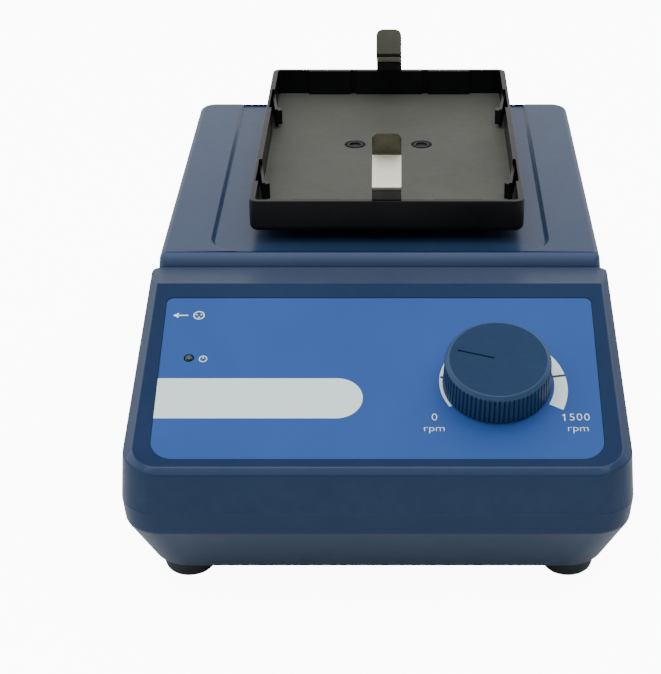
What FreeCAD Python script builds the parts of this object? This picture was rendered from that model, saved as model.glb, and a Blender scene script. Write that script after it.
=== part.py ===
import FreeCAD, Part
import Sketcher
import math
import os
from FreeCAD import Vector

# A microplate vortex mixer. Origin on the floor under the middle of the whole object,
# +X to the right, -Y towards the control panel, +Z up. Millimetres and degrees.

SIZES = {
    # Housing
    "body_width": 154.0,
    "body_depth": 234.0,
    "rear_stand_out": 1.92,
    "foot_height": 5.5,
    "bevel_height": 20.3,
    "band_height": 7.3,
    "deck_level": 78.5,
    "wall": 2.5,
    "band_lean": 0.6,
    "bevel_side": 7.0,
    "bevel_front": 13.5,
    "bevel_rear": 9.0,
    "front_corner": 12.0,
    "rear_corner": 9.0,
    "joint_corner": 3.0,
    "seam_chamfer": 0.4,
    # Front cover and control panel
    "deck_setback": 84.4,
    "step_drop": 4.0,
    "strip_depth": 12.7,
    "strip_width": 147.6,
    "panel_tilt": 20.5,
    "panel_length": 74.9,
    "frame_half_top": 70.8,
    "frame_half_low": 72.7,
    "frame_corner": 8.0,
    "crown_drop": 12.0,
    "crown_front_spread": 17.8,
    "label_width": 134.4,
    "label_top": 5.9,
    "label_length": 65.8,
    "label_corner_top": 2.0,
    "label_corner_low": 5.0,
    "label_recess": 0.5,
    "label_thick": 0.35,
    # Rear cover and deck
    "deck_width": 143.4,
    "rear_lean": 3.9,
    "deck_corner": 6.0,
    "deck_round": 2.0,
    "deck_recess": 1.2,
    "recess_half": 56.0,
    "recess_corner": 11.0,
    "recess_front": 3.2,
    "deck_opening": 19.5,
    # Knob and potentiometer
    "knob_x": 36.2,
    "knob_down": 42.2,
    "knob_height": 10.6,
    "knob_gap": 0.5,
    "knob_skirt": 16.3,
    "knob_top": 15.9,
    "knob_face": 14.0,
    "knob_bevel": 1.9,
    "knob_cavity": 8.0,
    "knob_cavity_deep": 2.6,
    "flute_count": 70,
    "flute_deep": 0.55,
    "flute_half": 0.52,
    "pointer_turn": 164.0,
    "pointer_start": 1.0,
    "pointer_end": 12.8,
    "pointer_width": 0.7,
    "pointer_deep": 0.5,
    "spindle": 3.0,
    "running_gap": 0.05,
    "bushing": 3.5,
    "pot_radius": 8.0,
    "pot_height": 9.0,
    "led_x": -58.4,
    "led_down": 31.9,
    "led_radius": 1.5,
    # Tray
    "tray_width": 90.6,
    "tray_length": 133.5,
    "tray_height": 11.0,
    "tray_setback": 11.9,
    "tray_lift": 3.0,
    "tray_floor": 1.4,
    "tray_side": 2.0,
    "tray_end": 1.6,
    "tray_corner": 3.0,
    "tray_round": 2.0,
    "tray_forward": 10.0,
    "pad_width": 16.4,
    "pad_offset": 23.3,
    "pad_thick": 1.0,
    "window_length": 20.0,
    "window_offset": 36.0,
    "window_shift": 3.0,
    "window_skin": 0.8,
    "window_top": 1.6,
    "finger_thick": 1.1,
    "finger_length": 17.0,
    "finger_lean": 7.0,
    "finger_nub": 1.6,
    "tray_screw_offset": 12.15,
    "screw_seat": 3.6,
    "orbit": 2.25,
    # Spring clips
    "clip_width": 9.6,
    "clip_thick": 0.6,
    "clip_in": 1.5,
    "clip_block": 2.5,
    "clip_block_width": 26.0,
    "clip_above": 0.3,
    "clip_rise": 3.7,
    "clip_lean": 14.4,
    "clip_lean_rise": 6.7,
    "clip_tab_out": 4.8,
    "clip_tab_rise": 9.2,
    "clip_tab_corner": 2.6,
    "clip_foot": 7.0,
    "clip_screw_x": 3.2,
    "clip_screw_in": 3.7,
    "clip_screw": 0.9,
    # Drive
    "floor_level": 8.0,
    "plate_level": 46.0,
    "plate_thick": 3.0,
    "plate_width": 100.0,
    "plate_depth": 62.0,
    "idler_offset": 36.0,
    "motor_radius": 18.5,
    "motor_height": 35.0,
    "motor_boss": 6.0,
    "shaft": 2.5,
    "hub_radius": 8.0,
    "hub_gap": 2.2,
    "hub_height": 7.8,
    "pin": 3.0,
    "open_gap": 0.3,
    "weight_radius": 24.0,
    "weight_height": 5.0,
    "carriage_level": 61.0,
    "carriage_thick": 6.0,
    "carriage_width": 100.0,
    "carriage_depth": 50.0,
    "bearing_radius": 7.5,
    "neck": 15.5,
    "flange": 23.0,
    "flange_thick": 3.0,
    # Feet and screws
    "foot_x": 59.0,
    "foot_in": 23.0,
    "foot_top": 8.6,
    "foot_low": 7.4,
    "foot_round": 1.6,
    "screw": 1.5,
    "screw_hole": 1.7,
    "boss": 4.5,
    "cover_screw_x": 61.0,
    "cover_screw_in": 52.0,
    # Mains inlet and power switch in the rear wall
    "inlet_x": -8.0,
    "inlet_up": 22.0,
    "inlet_width": 27.5,
    "inlet_height": 19.8,
    "inlet_flange": 50.0,
    "inlet_flange_height": 24.0,
    "inlet_pitch": 40.0,
    "inlet_deep": 17.0,
    "inlet_skin": 1.8,
    "switch_x": -55.0,
    "switch_up": 22.0,
    "bezel_width": 15.0,
    "bezel_height": 21.0,
    "bezel_skin": 1.6,
    "rocker_width": 9.6,
    "rocker_height": 15.6,
    "rocker_turn": 9.0,
    "rocker_pivot": 1.0,
    # Electronics
    "board_width": 96.0,
    "board_depth": 44.0,
    "board_in": 30.0,
    "board_level": 16.0,
    "board_thick": 1.6,
}

doc = FreeCAD.newDocument("MicroplateMixer")
sheet = doc.addObject("Spreadsheet::Sheet", "Size")
for row, (alias, number) in enumerate(SIZES.items(), start=1):
    sheet.set(f"A{row}", alias)
    sheet.set(f"B{row}", str(number))
    sheet.setAlias(f"B{row}", alias)
doc.recompute()

# Places worked out from the driving sizes, as expressions
FRONT_Y = "(0 - (Size.body_depth + Size.rear_stand_out) / 2)"
BACK_Y = f"({FRONT_Y} + Size.body_depth)"
BAND_Z = "(Size.foot_height + Size.bevel_height)"
SEAM_Z = f"({BAND_Z} + Size.band_height)"
DECK_Y = f"({FRONT_Y} + Size.deck_setback)"
STRIP_Z = "(Size.deck_level - Size.step_drop)"
PANEL_Y = f"({DECK_Y} - Size.strip_depth)"
TRAY_Y = f"({DECK_Y} + Size.tray_setback + Size.tray_length / 2)"
DRIVE_Y = f"({TRAY_Y} + Size.tray_forward)"
TRAY_Z = "(Size.deck_level + Size.tray_lift)"
TRAY_FLOOR_Z = f"({TRAY_Z} + Size.tray_floor)"
RIM_Z = f"({TRAY_Z} + Size.tray_height)"
PLATE_TOP = "(Size.plate_level + Size.plate_thick)"
HUB_Z = f"({PLATE_TOP} + Size.hub_gap)"
PIN_Z = f"({HUB_Z} + Size.hub_height)"
CARRIAGE_TOP = "(Size.carriage_level + Size.carriage_thick)"
REAR_TILT = f"atan(Size.rear_lean / (Size.deck_level - {SEAM_Z}))"
PANEL_FRAME = (PANEL_Y, STRIP_Z, "Size.panel_tilt")
REAR_FRAME = (BACK_Y, SEAM_Z, REAR_TILT)
ACROSS = "vector(1; 0; 0)"
UPRIGHT = "vector(0; 0; 1)"

nodes = []


def value(expression):
    """Work out an expression of the sheet as a plain number."""
    result = sheet.evalExpression(expression)
    return float(getattr(result, "Value", result))


def node(thing, name):
    """Give a finished piece the label that names its file."""
    thing.Label = name
    nodes.append(thing)
    return thing


def place(thing, x="0", y="0", z="0", axis=UPRIGHT, angle="0"):
    """Bind a placement to expressions."""
    base = f"vector({x}; {y}; {z})"
    thing.setExpression("Placement", f"placement({base}; rotation({axis}; {angle}))")
    return thing


def tilted(frame, x, y, z):
    """Turn coordinates in a frame tilted about X into expressions in the part's frame."""
    origin_y, origin_z, tilt = frame
    world_y = f"({origin_y} + ({y}) * cos({tilt}) - ({z}) * sin({tilt}))"
    world_z = f"({origin_z} + ({y}) * sin({tilt}) + ({z}) * cos({tilt}))"
    return x, world_y, world_z


def cylinder(name, radius, height, x="0", y="0", z="0", axis=UPRIGHT, angle="0"):
    """A cylinder bound to expressions."""
    thing = doc.addObject("Part::Cylinder", name)
    thing.setExpression("Radius", radius)
    thing.setExpression("Height", height)
    return place(thing, x, y, z, axis, angle)


def block(name, width, depth, height, x="0", y="0", z="0", axis=UPRIGHT, angle="0"):
    """A box bound to expressions, placed by its lowest corner."""
    thing = doc.addObject("Part::Box", name)
    thing.setExpression("Length", width)
    thing.setExpression("Width", depth)
    thing.setExpression("Height", height)
    return place(thing, x, y, z, axis, angle)


def middle_block(name, width, depth, height, x="0", y="0", z="0"):
    """An upright box centred on x and y, standing on z."""
    corner = (f"{x} - ({width}) / 2", f"{y} - ({depth}) / 2", z)
    return block(name, width, depth, height, *corner)


def tilted_block(name, frame, width, depth, height, x, y, z):
    """A box in a tilted frame, placed by its lowest corner there."""
    return block(name, width, depth, height, *tilted(frame, x, y, z), ACROSS, frame[2])


def tilted_cylinder(name, frame, radius, height, x, y, z):
    """A cylinder along the z axis of a tilted frame."""
    return cylinder(name, radius, height, *tilted(frame, x, y, z), ACROSS, frame[2])


def wall_cylinder(name, frame, radius, height, x, y, z):
    """A cylinder along the y axis of a tilted frame, pointing out of an upright wall."""
    turn = f"{frame[2]} - 90 deg"
    return cylinder(name, radius, height, *tilted(frame, x, y, z), ACROSS, turn)


def cut(name, base, tool):
    """Take a tool away from a base."""
    thing = doc.addObject("Part::Cut", name)
    thing.Base = base
    thing.Tool = tool
    return thing


def fuse(name, pieces):
    """Join pieces into one solid."""
    thing = doc.addObject("Part::MultiFuse", name)
    thing.Shapes = pieces
    return thing


def common(name, pieces):
    """Keep what two pieces share."""
    thing = doc.addObject("Part::MultiCommon", name)
    thing.Shapes = pieces
    return thing


def group(name, pieces):
    """Hold separate solids in one node."""
    thing = doc.addObject("Part::Compound", name)
    thing.Links = pieces
    return thing


def new_body(name):
    """An empty PartDesign body."""
    return doc.addObject("PartDesign::Body", name)


def sketch_on(body, name, role, x="0", y="0", z="0"):
    """A sketch on one of a body's own planes, moved by an offset in the plane's axes."""
    sketch = body.newObject("Sketcher::SketchObject", name)
    origin_plane = next(p for p in body.Origin.OriginFeatures if p.Role == role)
    sketch.AttachmentSupport = [(origin_plane, "")]
    sketch.MapMode = "FlatFace"
    offset = f"placement(vector({x}; {y}; {z}); rotation({UPRIGHT}; 0))"
    sketch.setExpression("AttachmentOffset", offset)
    return sketch


def bind(sketch, kind, *arguments, size):
    """Add a dimension to a sketch and bind it to an expression."""
    index = sketch.addConstraint(Sketcher.Constraint(kind, *arguments, value(size)))
    sketch.setExpression(f"Constraints[{index}]", size)


def rounded_outline(sketch, half_low, half_top, low, top, round_low, round_top):
    """A rounded trapezoid about the sketch's origin, low side first, corners as arcs."""
    wide, narrow = value(half_low), value(half_top)
    down, up = value(low), value(top)
    small, large = value(round_low), value(round_top)
    lines = [
        ((-wide + small, -down), (wide - small, -down)),
        ((wide, -down + small), (narrow, up - large)),
        ((narrow - large, up), (-narrow + large, up)),
        ((-narrow, up - large), (-wide, -down + small)),
    ]
    centres = [
        (wide - small, -down + small, small, 270),
        (narrow - large, up - large, large, 0),
        (-narrow + large, up - large, large, 90),
        (-wide + small, -down + small, small, 180),
    ]
    for (start, end), (x, y, radius, first) in zip(lines, centres):
        sketch.addGeometry(Part.LineSegment(Vector(*start, 0), Vector(*end, 0)))
        circle = Part.Circle(Vector(x, y, 0), Vector(0, 0, 1), radius)
        arc = Part.ArcOfCircle(circle, math.radians(first), math.radians(first + 90))
        sketch.addGeometry(arc)
    for index in range(8):
        sketch.addConstraint(Sketcher.Constraint("Tangent", index, 2, (index + 1) % 8, 1))
    sketch.addConstraint(Sketcher.Constraint("Horizontal", 0))
    sketch.addConstraint(Sketcher.Constraint("Horizontal", 4))
    sketch.addConstraint(Sketcher.Constraint("Equal", 1, 7))
    sketch.addConstraint(Sketcher.Constraint("Equal", 3, 5))
    bind(sketch, "DistanceX", -1, 1, 2, 1, size=half_low)
    bind(sketch, "DistanceX", -1, 1, 2, 2, size=half_top)
    bind(sketch, "DistanceX", 6, 2, -1, 1, size=half_low)
    bind(sketch, "DistanceX", 6, 1, -1, 1, size=half_top)
    bind(sketch, "DistanceY", 0, 1, -1, 1, size=low)
    bind(sketch, "DistanceY", -1, 1, 4, 1, size=top)
    bind(sketch, "Radius", 1, size=round_low)
    bind(sketch, "Radius", 3, size=round_top)
    return sketch


def polygon(sketch, points):
    """A closed outline of straight runs through points given as expressions."""
    corners = [Vector(value(x), value(y), 0) for x, y in points]
    for index, corner in enumerate(corners):
        following = corners[(index + 1) % len(corners)]
        sketch.addGeometry(Part.LineSegment(corner, following))
    for index, (x, y) in enumerate(points):
        after = (index + 1) % len(points)
        sketch.addConstraint(Sketcher.Constraint("Coincident", index, 2, after, 1))
        bind(sketch, "DistanceX", -1, 1, index, 1, size=x)
        bind(sketch, "DistanceY", -1, 1, index, 1, size=y)
    return sketch


def pad(body, name, sketch, length):
    """Raise a sketch."""
    feature = body.newObject("PartDesign::Pad", name)
    feature.Profile = sketch
    feature.setExpression("Length", length)
    return feature


def pocket(body, name, sketch, length=None, backwards=False):
    """Sink a sketch by a length, or through everything on both sides."""
    feature = body.newObject("PartDesign::Pocket", name)
    feature.Profile = sketch
    if length is None:
        feature.Type = "ThroughAll"
        feature.SideType = "Symmetric"
    else:
        feature.setExpression("Length", length)
        feature.Reversed = backwards
    return feature


def loft(body, name, sketches):
    """A ruled loft through outlines."""
    feature = body.newObject("PartDesign::AdditiveLoft", name)
    feature.Profile = sketches[0]
    feature.Sections = sketches[1:]
    feature.Ruled = True
    return feature


def revolve(body, name, sketch):
    """Turn a profile about its own vertical axis."""
    feature = body.newObject("PartDesign::Revolution", name)
    feature.Profile = sketch
    feature.ReferenceAxis = (sketch, ["V_Axis"])
    feature.Angle = 360
    return feature


def edges_where(feature, wanted):
    """Name the edges of a feature whose middle passes a test."""
    doc.recompute()
    names = []
    for index, edge in enumerate(feature.Shape.Edges, start=1):
        middle = edge.valueAt((edge.FirstParameter + edge.LastParameter) / 2)
        if wanted(edge, middle):
            names.append(f"Edge{index}")
    return names


def soften(body, kind, name, feature, wanted, size):
    """Fillet or chamfer the edges that pass a test."""
    names = edges_where(feature, wanted)
    if not names:
        raise RuntimeError(f"{name} finds no edge")
    dress = body.newObject(f"PartDesign::{kind}", name)
    dress.Base = (feature, names)
    dress.setExpression("Radius" if kind == "Fillet" else "Size", size)
    return dress


def plan_outline(body, name, half, front, back, level, corners):
    """A rounded outline in plan, between a front and a back line at a level."""
    sketch = sketch_on(body, name, "XY_Plane", "0", f"({front} + {back}) / 2", level)
    reach = f"(({back}) - ({front})) / 2"
    return rounded_outline(sketch, half, half, reach, reach, *corners)


def screw_set(name, places, head, head_height, shank, length, z, up=1):
    """Pan screws at places in plan: heads seat at z, shanks run up (1) or down (-1)."""
    pieces = []
    for index, (x, y) in enumerate(places):
        head_z = f"{z} - ({head_height})" if up > 0 else z
        shank_z = z if up > 0 else f"{z} - ({length})"
        top = cylinder(f"{name}Head{index}", head, head_height, x, y, head_z)
        stem = cylinder(f"{name}Stem{index}", shank, length, x, y, shank_z)
        slot_z = head_z if up > 0 else f"{z} + ({head_height}) / 2"
        slot = middle_block(f"{name}Slot{index}", f"{head} * 1.2", "0.7",
                            f"({head_height}) / 2", x, y, slot_z)
        joined = fuse(f"{name}Whole{index}", [top, stem])
        pieces.append(cut(f"{name}Cut{index}", joined, slot))
    return group(name, pieces)


def four_corners(x, y_low, y_high):
    """Left and right places at two depths."""
    left = f"0 - ({x})"
    return [(x, y_low), (left, y_low), (x, y_high), (left, y_high)]


FOOT_PLACES = four_corners("Size.foot_x", f"{FRONT_Y} + Size.foot_in",
                           f"{BACK_Y} - Size.foot_in")
COVER_FRONT_Y = f"({FRONT_Y} + Size.cover_screw_in)"
COVER_BACK_Y = f"({BACK_Y} - Size.cover_screw_in)"
COVER_PLACES = four_corners("Size.cover_screw_x", COVER_FRONT_Y, COVER_BACK_Y)
PLATE_PLACES = four_corners("(Size.plate_width / 2 - 5)",
                            f"{DRIVE_Y} - Size.plate_depth / 2 + 5",
                            f"{DRIVE_Y} + Size.plate_depth / 2 - 5")


def shell_form(name, inset):
    """The lower shell's drafted band and bevel as one solid, drawn in by an inset."""
    body = new_body(name)
    half = f"Size.body_width / 2 - {inset}"
    corners = (f"Size.front_corner - {inset}", f"Size.rear_corner - {inset}")
    front, back = f"{FRONT_Y} + {inset}", f"{BACK_Y} - {inset}"
    rest = (half, front, back)
    edge = "Size.seam_chamfer"
    rim = plan_outline(body, f"{name}Rim", *rest, f"{SEAM_Z} - {edge}", corners)
    top = plan_outline(body, f"{name}Seam", f"{half} - {edge}", f"{front} + {edge}",
                       f"{back} - {edge}", SEAM_Z, corners)
    lean = "Size.band_lean"
    band = plan_outline(body, f"{name}Band", f"{half} - {lean}", f"{front} + {lean}",
                        f"{back} - {lean}", BAND_Z, corners)
    base = plan_outline(body, f"{name}Base", f"{half} - Size.bevel_side",
                        f"{front} + Size.bevel_front", f"{back} - Size.bevel_rear",
                        f"Size.foot_height + {inset}", corners)
    loft(body, f"{name}Loft", [base, band, rim, top])
    return body


def make_lower_shell():
    """The tub that carries everything, with screw bosses, feet holes and air slots."""
    body = shell_form("ShellOuter", "0")
    inner = shell_form("ShellInner", "Size.wall")
    opening = new_body("ShellMouth")
    mouth = plan_outline(opening, "ShellMouthOutline", "Size.body_width / 2 - Size.wall",
                         f"{FRONT_Y} + Size.wall", f"{BACK_Y} - Size.wall", SEAM_Z,
                         ("Size.front_corner - Size.wall", "Size.rear_corner - Size.wall"))
    pad(opening, "ShellMouthPad", mouth, "5")
    tub = cut("ShellTub", cut("ShellHollow", body, inner), opening)
    bosses = []
    for index, (x, y) in enumerate(COVER_PLACES):
        bosses.append(cylinder(f"ShellBoss{index}", "Size.boss",
                               f"{SEAM_Z} - Size.foot_height - 1", x, y,
                               "Size.foot_height + 1"))
    for index, (x, y) in enumerate(FOOT_PLACES):
        bosses.append(cylinder(f"FootBoss{index}", "Size.boss", "9", x, y,
                               "Size.foot_height + 1"))
    holes = []
    for index, (x, y) in enumerate(COVER_PLACES):
        holes.append(cylinder(f"ShellWell{index}", "3.3", "12", x, y, "Size.foot_height - 1"))
        holes.append(cylinder(f"ShellBore{index}", "Size.screw_hole", "40", x, y,
                              "Size.foot_height - 1"))
    for index, (x, y) in enumerate(FOOT_PLACES):
        holes.append(cylinder(f"FootBore{index}", "Size.screw_hole", "9", x, y,
                              "Size.foot_height - 1"))
    for row in range(8):
        slot_y = f"{DRIVE_Y} + ({row} - 3.5) * 5"
        holes.append(middle_block(f"AirSlot{row}", "34", "2", "6", "0", slot_y,
                                  "Size.foot_height - 1"))
    whole = fuse("ShellBossed", [tub] + bosses)
    return node(cut("LowerShell", whole, fuse("ShellHoles", holes)), "lower_shell")


def front_form(name, inset):
    """The front cover's block: drafted sides, the level strip and the tilted panel."""
    body = new_body(name)
    front = f"{FRONT_Y} + {inset}"
    back = f"{DECK_Y} - 0.15 - {inset}"
    corners = (f"Size.front_corner - {inset}", "Size.joint_corner")
    level = f"(Size.deck_level - {SEAM_Z})"
    lean = f"(Size.body_width - Size.strip_width) / 2 * {level} / ({STRIP_Z} - {SEAM_Z})"
    low = plan_outline(body, f"{name}Low", f"Size.body_width / 2 - {inset}",
                       front, back, SEAM_Z, corners)
    high = plan_outline(body, f"{name}High", f"Size.body_width / 2 - {inset} - {lean}",
                        front, back, "Size.deck_level", corners)
    loft(body, f"{name}Loft", [low, high])
    top = f"({STRIP_Z} - {inset})"
    turn_y = f"({PANEL_Y} - {inset} * tan(Size.panel_tilt / 2))"
    far_y = f"({FRONT_Y} - 20)"
    far_z = f"({top} - ({turn_y} - {far_y}) * tan(Size.panel_tilt))"
    above = sketch_on(body, f"{name}Side", "YZ_Plane")
    polygon(above, [(f"{DECK_Y} + 5", top), (f"{DECK_Y} + 5", "Size.deck_level + 10"),
                    (far_y, "Size.deck_level + 10"), (far_y, far_z), (turn_y, top)])
    pocket(body, f"{name}Slope", above)
    return body


def panel_crown():
    """A rounded frustum square to the panel, whose flanks leave the bevel round it."""
    body = new_body("PanelCrown")
    place(body, "0", PANEL_Y, STRIP_Z, ACROSS, "Size.panel_tilt")
    beyond = "60"
    top = sketch_on(body, "CrownTop", "XY_Plane", "0", "0", "0")
    rounded_outline(top, "Size.frame_half_low", "Size.frame_half_top - 1",
                    "Size.panel_length", beyond, "Size.frame_corner", "4")
    low = sketch_on(body, "CrownLow", "XY_Plane", "0", "0", "0 - Size.crown_drop")
    rounded_outline(low, "Size.frame_half_low + Size.crown_drop",
                    "Size.frame_half_top - 1 + Size.crown_drop",
                    "Size.panel_length + Size.crown_front_spread", beyond,
                    "Size.frame_corner + Size.crown_drop * 0.6", "4")
    deep = sketch_on(body, "CrownDeep", "XY_Plane", "0", "0", "0 - 80")
    rounded_outline(deep, "Size.frame_half_low + Size.crown_drop",
                    "Size.frame_half_top - 1 + Size.crown_drop",
                    "Size.panel_length + Size.crown_front_spread + 40", beyond,
                    "Size.frame_corner + Size.crown_drop * 0.6", "4")
    loft(body, "CrownLoft", [deep, low, top])
    return body


def label_form(name, margin, thickness, bottom):
    """A rounded plate that lies on the control panel."""
    body = new_body(name)
    place(body, "0", PANEL_Y, STRIP_Z, ACROSS, "Size.panel_tilt")
    sketch = sketch_on(body, f"{name}Outline", "XY_Plane", "0", "0 - Size.label_top", bottom)
    low = f"Size.label_length + {margin}"
    rounded_outline(sketch, f"Size.label_width / 2 + {margin}",
                    f"Size.label_width / 2 + {margin}", low, margin,
                    "Size.label_corner_low", "Size.label_corner_top")
    pad(body, f"{name}Pad", sketch, thickness)
    return body


def make_front_cover():
    """The front cover: strip behind, framed control panel, round corners, screw bosses."""
    outer = common("FrontSolid", [front_form("FrontOuter", "0"), panel_crown()])
    shell = cut("FrontHollow", outer, front_form("FrontInner", "Size.wall"))
    mouth = middle_block("FrontMouth", "Size.body_width - 2 * Size.wall - 4",
                         "Size.deck_setback - 2 * Size.wall - 4", "2", "0",
                         f"({FRONT_Y} + {DECK_Y}) / 2", f"{SEAM_Z} - 1")
    bosses = []
    bores = [mouth, label_form("LabelSeat", "0.15", "5", "0 - Size.label_recess")]
    for index, (x, y) in enumerate(COVER_PLACES[:2]):
        column = cylinder(f"FrontBoss{index}", "Size.boss", "45", x, y, SEAM_Z)
        bosses.append(common(f"FrontBossTrim{index}", [column, outer]))
        bores.append(cylinder(f"FrontBore{index}", "Size.screw", "12", x, y,
                              f"{SEAM_Z} - 1"))
    down = "0 - Size.knob_down"
    bores.append(tilted_cylinder("BushingHole", PANEL_FRAME, "Size.bushing + 0.1", "20",
                                 "Size.knob_x", down, "0 - 10"))
    bores.append(tilted_cylinder("LedHole", PANEL_FRAME, "Size.led_radius + 0.1", "20",
                                 "Size.led_x", "0 - Size.led_down", "0 - 10"))
    whole = fuse("FrontBossed", [shell] + bosses)
    return node(cut("FrontCover", whole, fuse("FrontBores", bores)), "front_cover")


def make_panel_label():
    """The printed overlay that lies in the panel's recess."""
    plate = label_form("LabelPlate", "0", "Size.label_thick", "0 - Size.label_recess")
    knob_hole = tilted_cylinder("LabelKnobHole", PANEL_FRAME, "Size.knob_cavity - 1", "4",
                                "Size.knob_x", "0 - Size.knob_down", "0 - 2")
    led_hole = tilted_cylinder("LabelLedHole", PANEL_FRAME, "Size.led_radius + 0.1", "4",
                               "Size.led_x", "0 - Size.led_down", "0 - 2")
    holes = fuse("LabelHoles", [knob_hole, led_hole])
    return node(cut("PanelLabel", plate, holes), "panel_label")


def rear_form(name, inset):
    """The rear cover's drafted block, its deck edge rounded by a fan of outlines."""
    body = new_body(name)
    front = f"{DECK_Y} + {inset}"
    corners = ("Size.joint_corner", f"Size.rear_corner - {inset}")
    outlines = [plan_outline(body, f"{name}Low", f"Size.body_width / 2 - {inset}", front,
                             f"{BACK_Y} - {inset}", SEAM_Z, corners)]
    for turn in (0, 30, 60, 90):
        drawn = f"Size.deck_round * (1 - cos({turn}))"
        sunk = f"Size.deck_round * (1 - sin({turn}))"
        top_corners = (f"Size.joint_corner - {drawn}", f"Size.deck_corner - {inset} - {drawn}")
        outlines.append(plan_outline(
            body, f"{name}Top{turn}", f"Size.deck_width / 2 - {inset} - {drawn}",
            f"{front} + {drawn}", f"{BACK_Y} - Size.rear_lean - {inset} - {drawn}",
            f"Size.deck_level - {inset} - {sunk}", top_corners))
    loft(body, f"{name}Loft", outlines)
    return body


def deck_recess():
    """The shallow tray in the deck's middle, with sloping flanks, open at the back."""
    body = new_body("DeckRecess")
    beyond = "30"
    front = f"{DECK_Y} + Size.recess_front"
    back = f"{BACK_Y} + {beyond}"
    low = plan_outline(body, "RecessLow", "Size.recess_half - Size.deck_recess",
                       f"{front} + Size.deck_recess", back,
                       "Size.deck_level - Size.deck_recess",
                       ("Size.recess_corner - Size.deck_recess", "5"))
    high = plan_outline(body, "RecessHigh", "Size.recess_half + Size.deck_recess",
                        f"{front} - Size.deck_recess", back,
                        "Size.deck_level + Size.deck_recess",
                        ("Size.recess_corner + Size.deck_recess", "5"))
    loft(body, "RecessLoft", [low, high])
    return body


def make_rear_cover():
    """The rear cover: deck with its recess and opening, rear wall with its cut-outs."""
    outer = cut("RearTop", rear_form("RearOuter", "0"), deck_recess())
    inner_top = "Size.deck_level - Size.deck_recess - Size.wall"
    inner = rear_form("RearInner", "Size.wall")
    ceiling = middle_block("RearCeiling", "Size.body_width", "Size.body_depth", "10", "0",
                           "0", inner_top)
    shell = cut("RearHollow", outer, cut("RearRoom", inner, ceiling))
    mouth = middle_block("RearMouth", "Size.body_width - 2 * Size.wall - 4",
                         "Size.body_depth - Size.deck_setback - 2 * Size.wall - 4", "2",
                         "0", f"({DECK_Y} + {BACK_Y}) / 2", f"{SEAM_Z} - 1")
    bores = [mouth, cylinder("DeckOpening", "Size.deck_opening", "20", "0", DRIVE_Y,
                             "Size.deck_level - 10")]
    bosses = []
    for index, (x, y) in enumerate(COVER_PLACES[2:]):
        column = cylinder(f"RearBoss{index}", "Size.boss", "44", x, y, SEAM_Z)
        bosses.append(common(f"RearBossTrim{index}", [column, outer]))
        bores.append(cylinder(f"RearBore{index}", "Size.screw", "12", x, y,
                              f"{SEAM_Z} - 1"))
    bores.append(tilted_block("InletHole", REAR_FRAME, "Size.inlet_width + 0.4", "30",
                              "Size.inlet_height + 0.4",
                              "Size.inlet_x - Size.inlet_width / 2 - 0.2", "0 - 15",
                              "Size.inlet_up - Size.inlet_height / 2 - 0.2"))
    bores.append(tilted_block("SwitchHole", REAR_FRAME, "Size.bezel_width - 2", "30",
                              "Size.bezel_height - 2",
                              "Size.switch_x - Size.bezel_width / 2 + 1", "0 - 15",
                              "Size.switch_up - Size.bezel_height / 2 + 1"))
    for side in (-1, 1):
        bores.append(wall_cylinder(f"InletScrewHole{side + 1}", REAR_FRAME, "Size.screw",
                                   "20", f"Size.inlet_x + {side} * Size.inlet_pitch / 2",
                                   "0 - 10", "Size.inlet_up"))
    whole = fuse("RearBossed", [shell] + bosses)
    return node(cut("RearCover", whole, fuse("RearBores", bores)), "rear_cover")


def make_feet():
    """Four rubber feet with sunk screws."""
    feet = []
    for index, (x, y) in enumerate(FOOT_PLACES):
        cone = doc.addObject("Part::Cone", f"FootCone{index}")
        cone.setExpression("Radius1", "Size.foot_low")
        cone.setExpression("Radius2", "Size.foot_top")
        cone.setExpression("Height", "Size.foot_height")
        place(cone, x, y, "0")
        doc.recompute()
        rim = [number for number, edge in enumerate(cone.Shape.Edges, start=1)
               if edge.Length > 10 and edge.BoundBox.ZMax < 0.01]
        rounded = doc.addObject("Part::Chamfer", f"FootRound{index}")
        rounded.Base = cone
        rounded.Edges = [(number, SIZES["foot_round"], SIZES["foot_round"]) for number in rim]
        well = cylinder(f"FootWell{index}", "3.6", "3", x, y, "0 - 0.5")
        bore = cylinder(f"FootHole{index}", "Size.screw_hole", "10", x, y, "0 - 1")
        feet.append(cut(f"Foot{index}", rounded, fuse(f"FootHoles{index}", [well, bore])))
    node(group("RubberFeet", feet), "rubber_feet")
    node(screw_set("FootScrews", FOOT_PLACES, "3", "1.6", "Size.screw", "9", "2.5"),
         "foot_screws")
    node(screw_set("CoverScrews", COVER_PLACES, "3", "1.8", "Size.screw", "25",
                   "Size.foot_height + 11"), "cover_screws")


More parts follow.
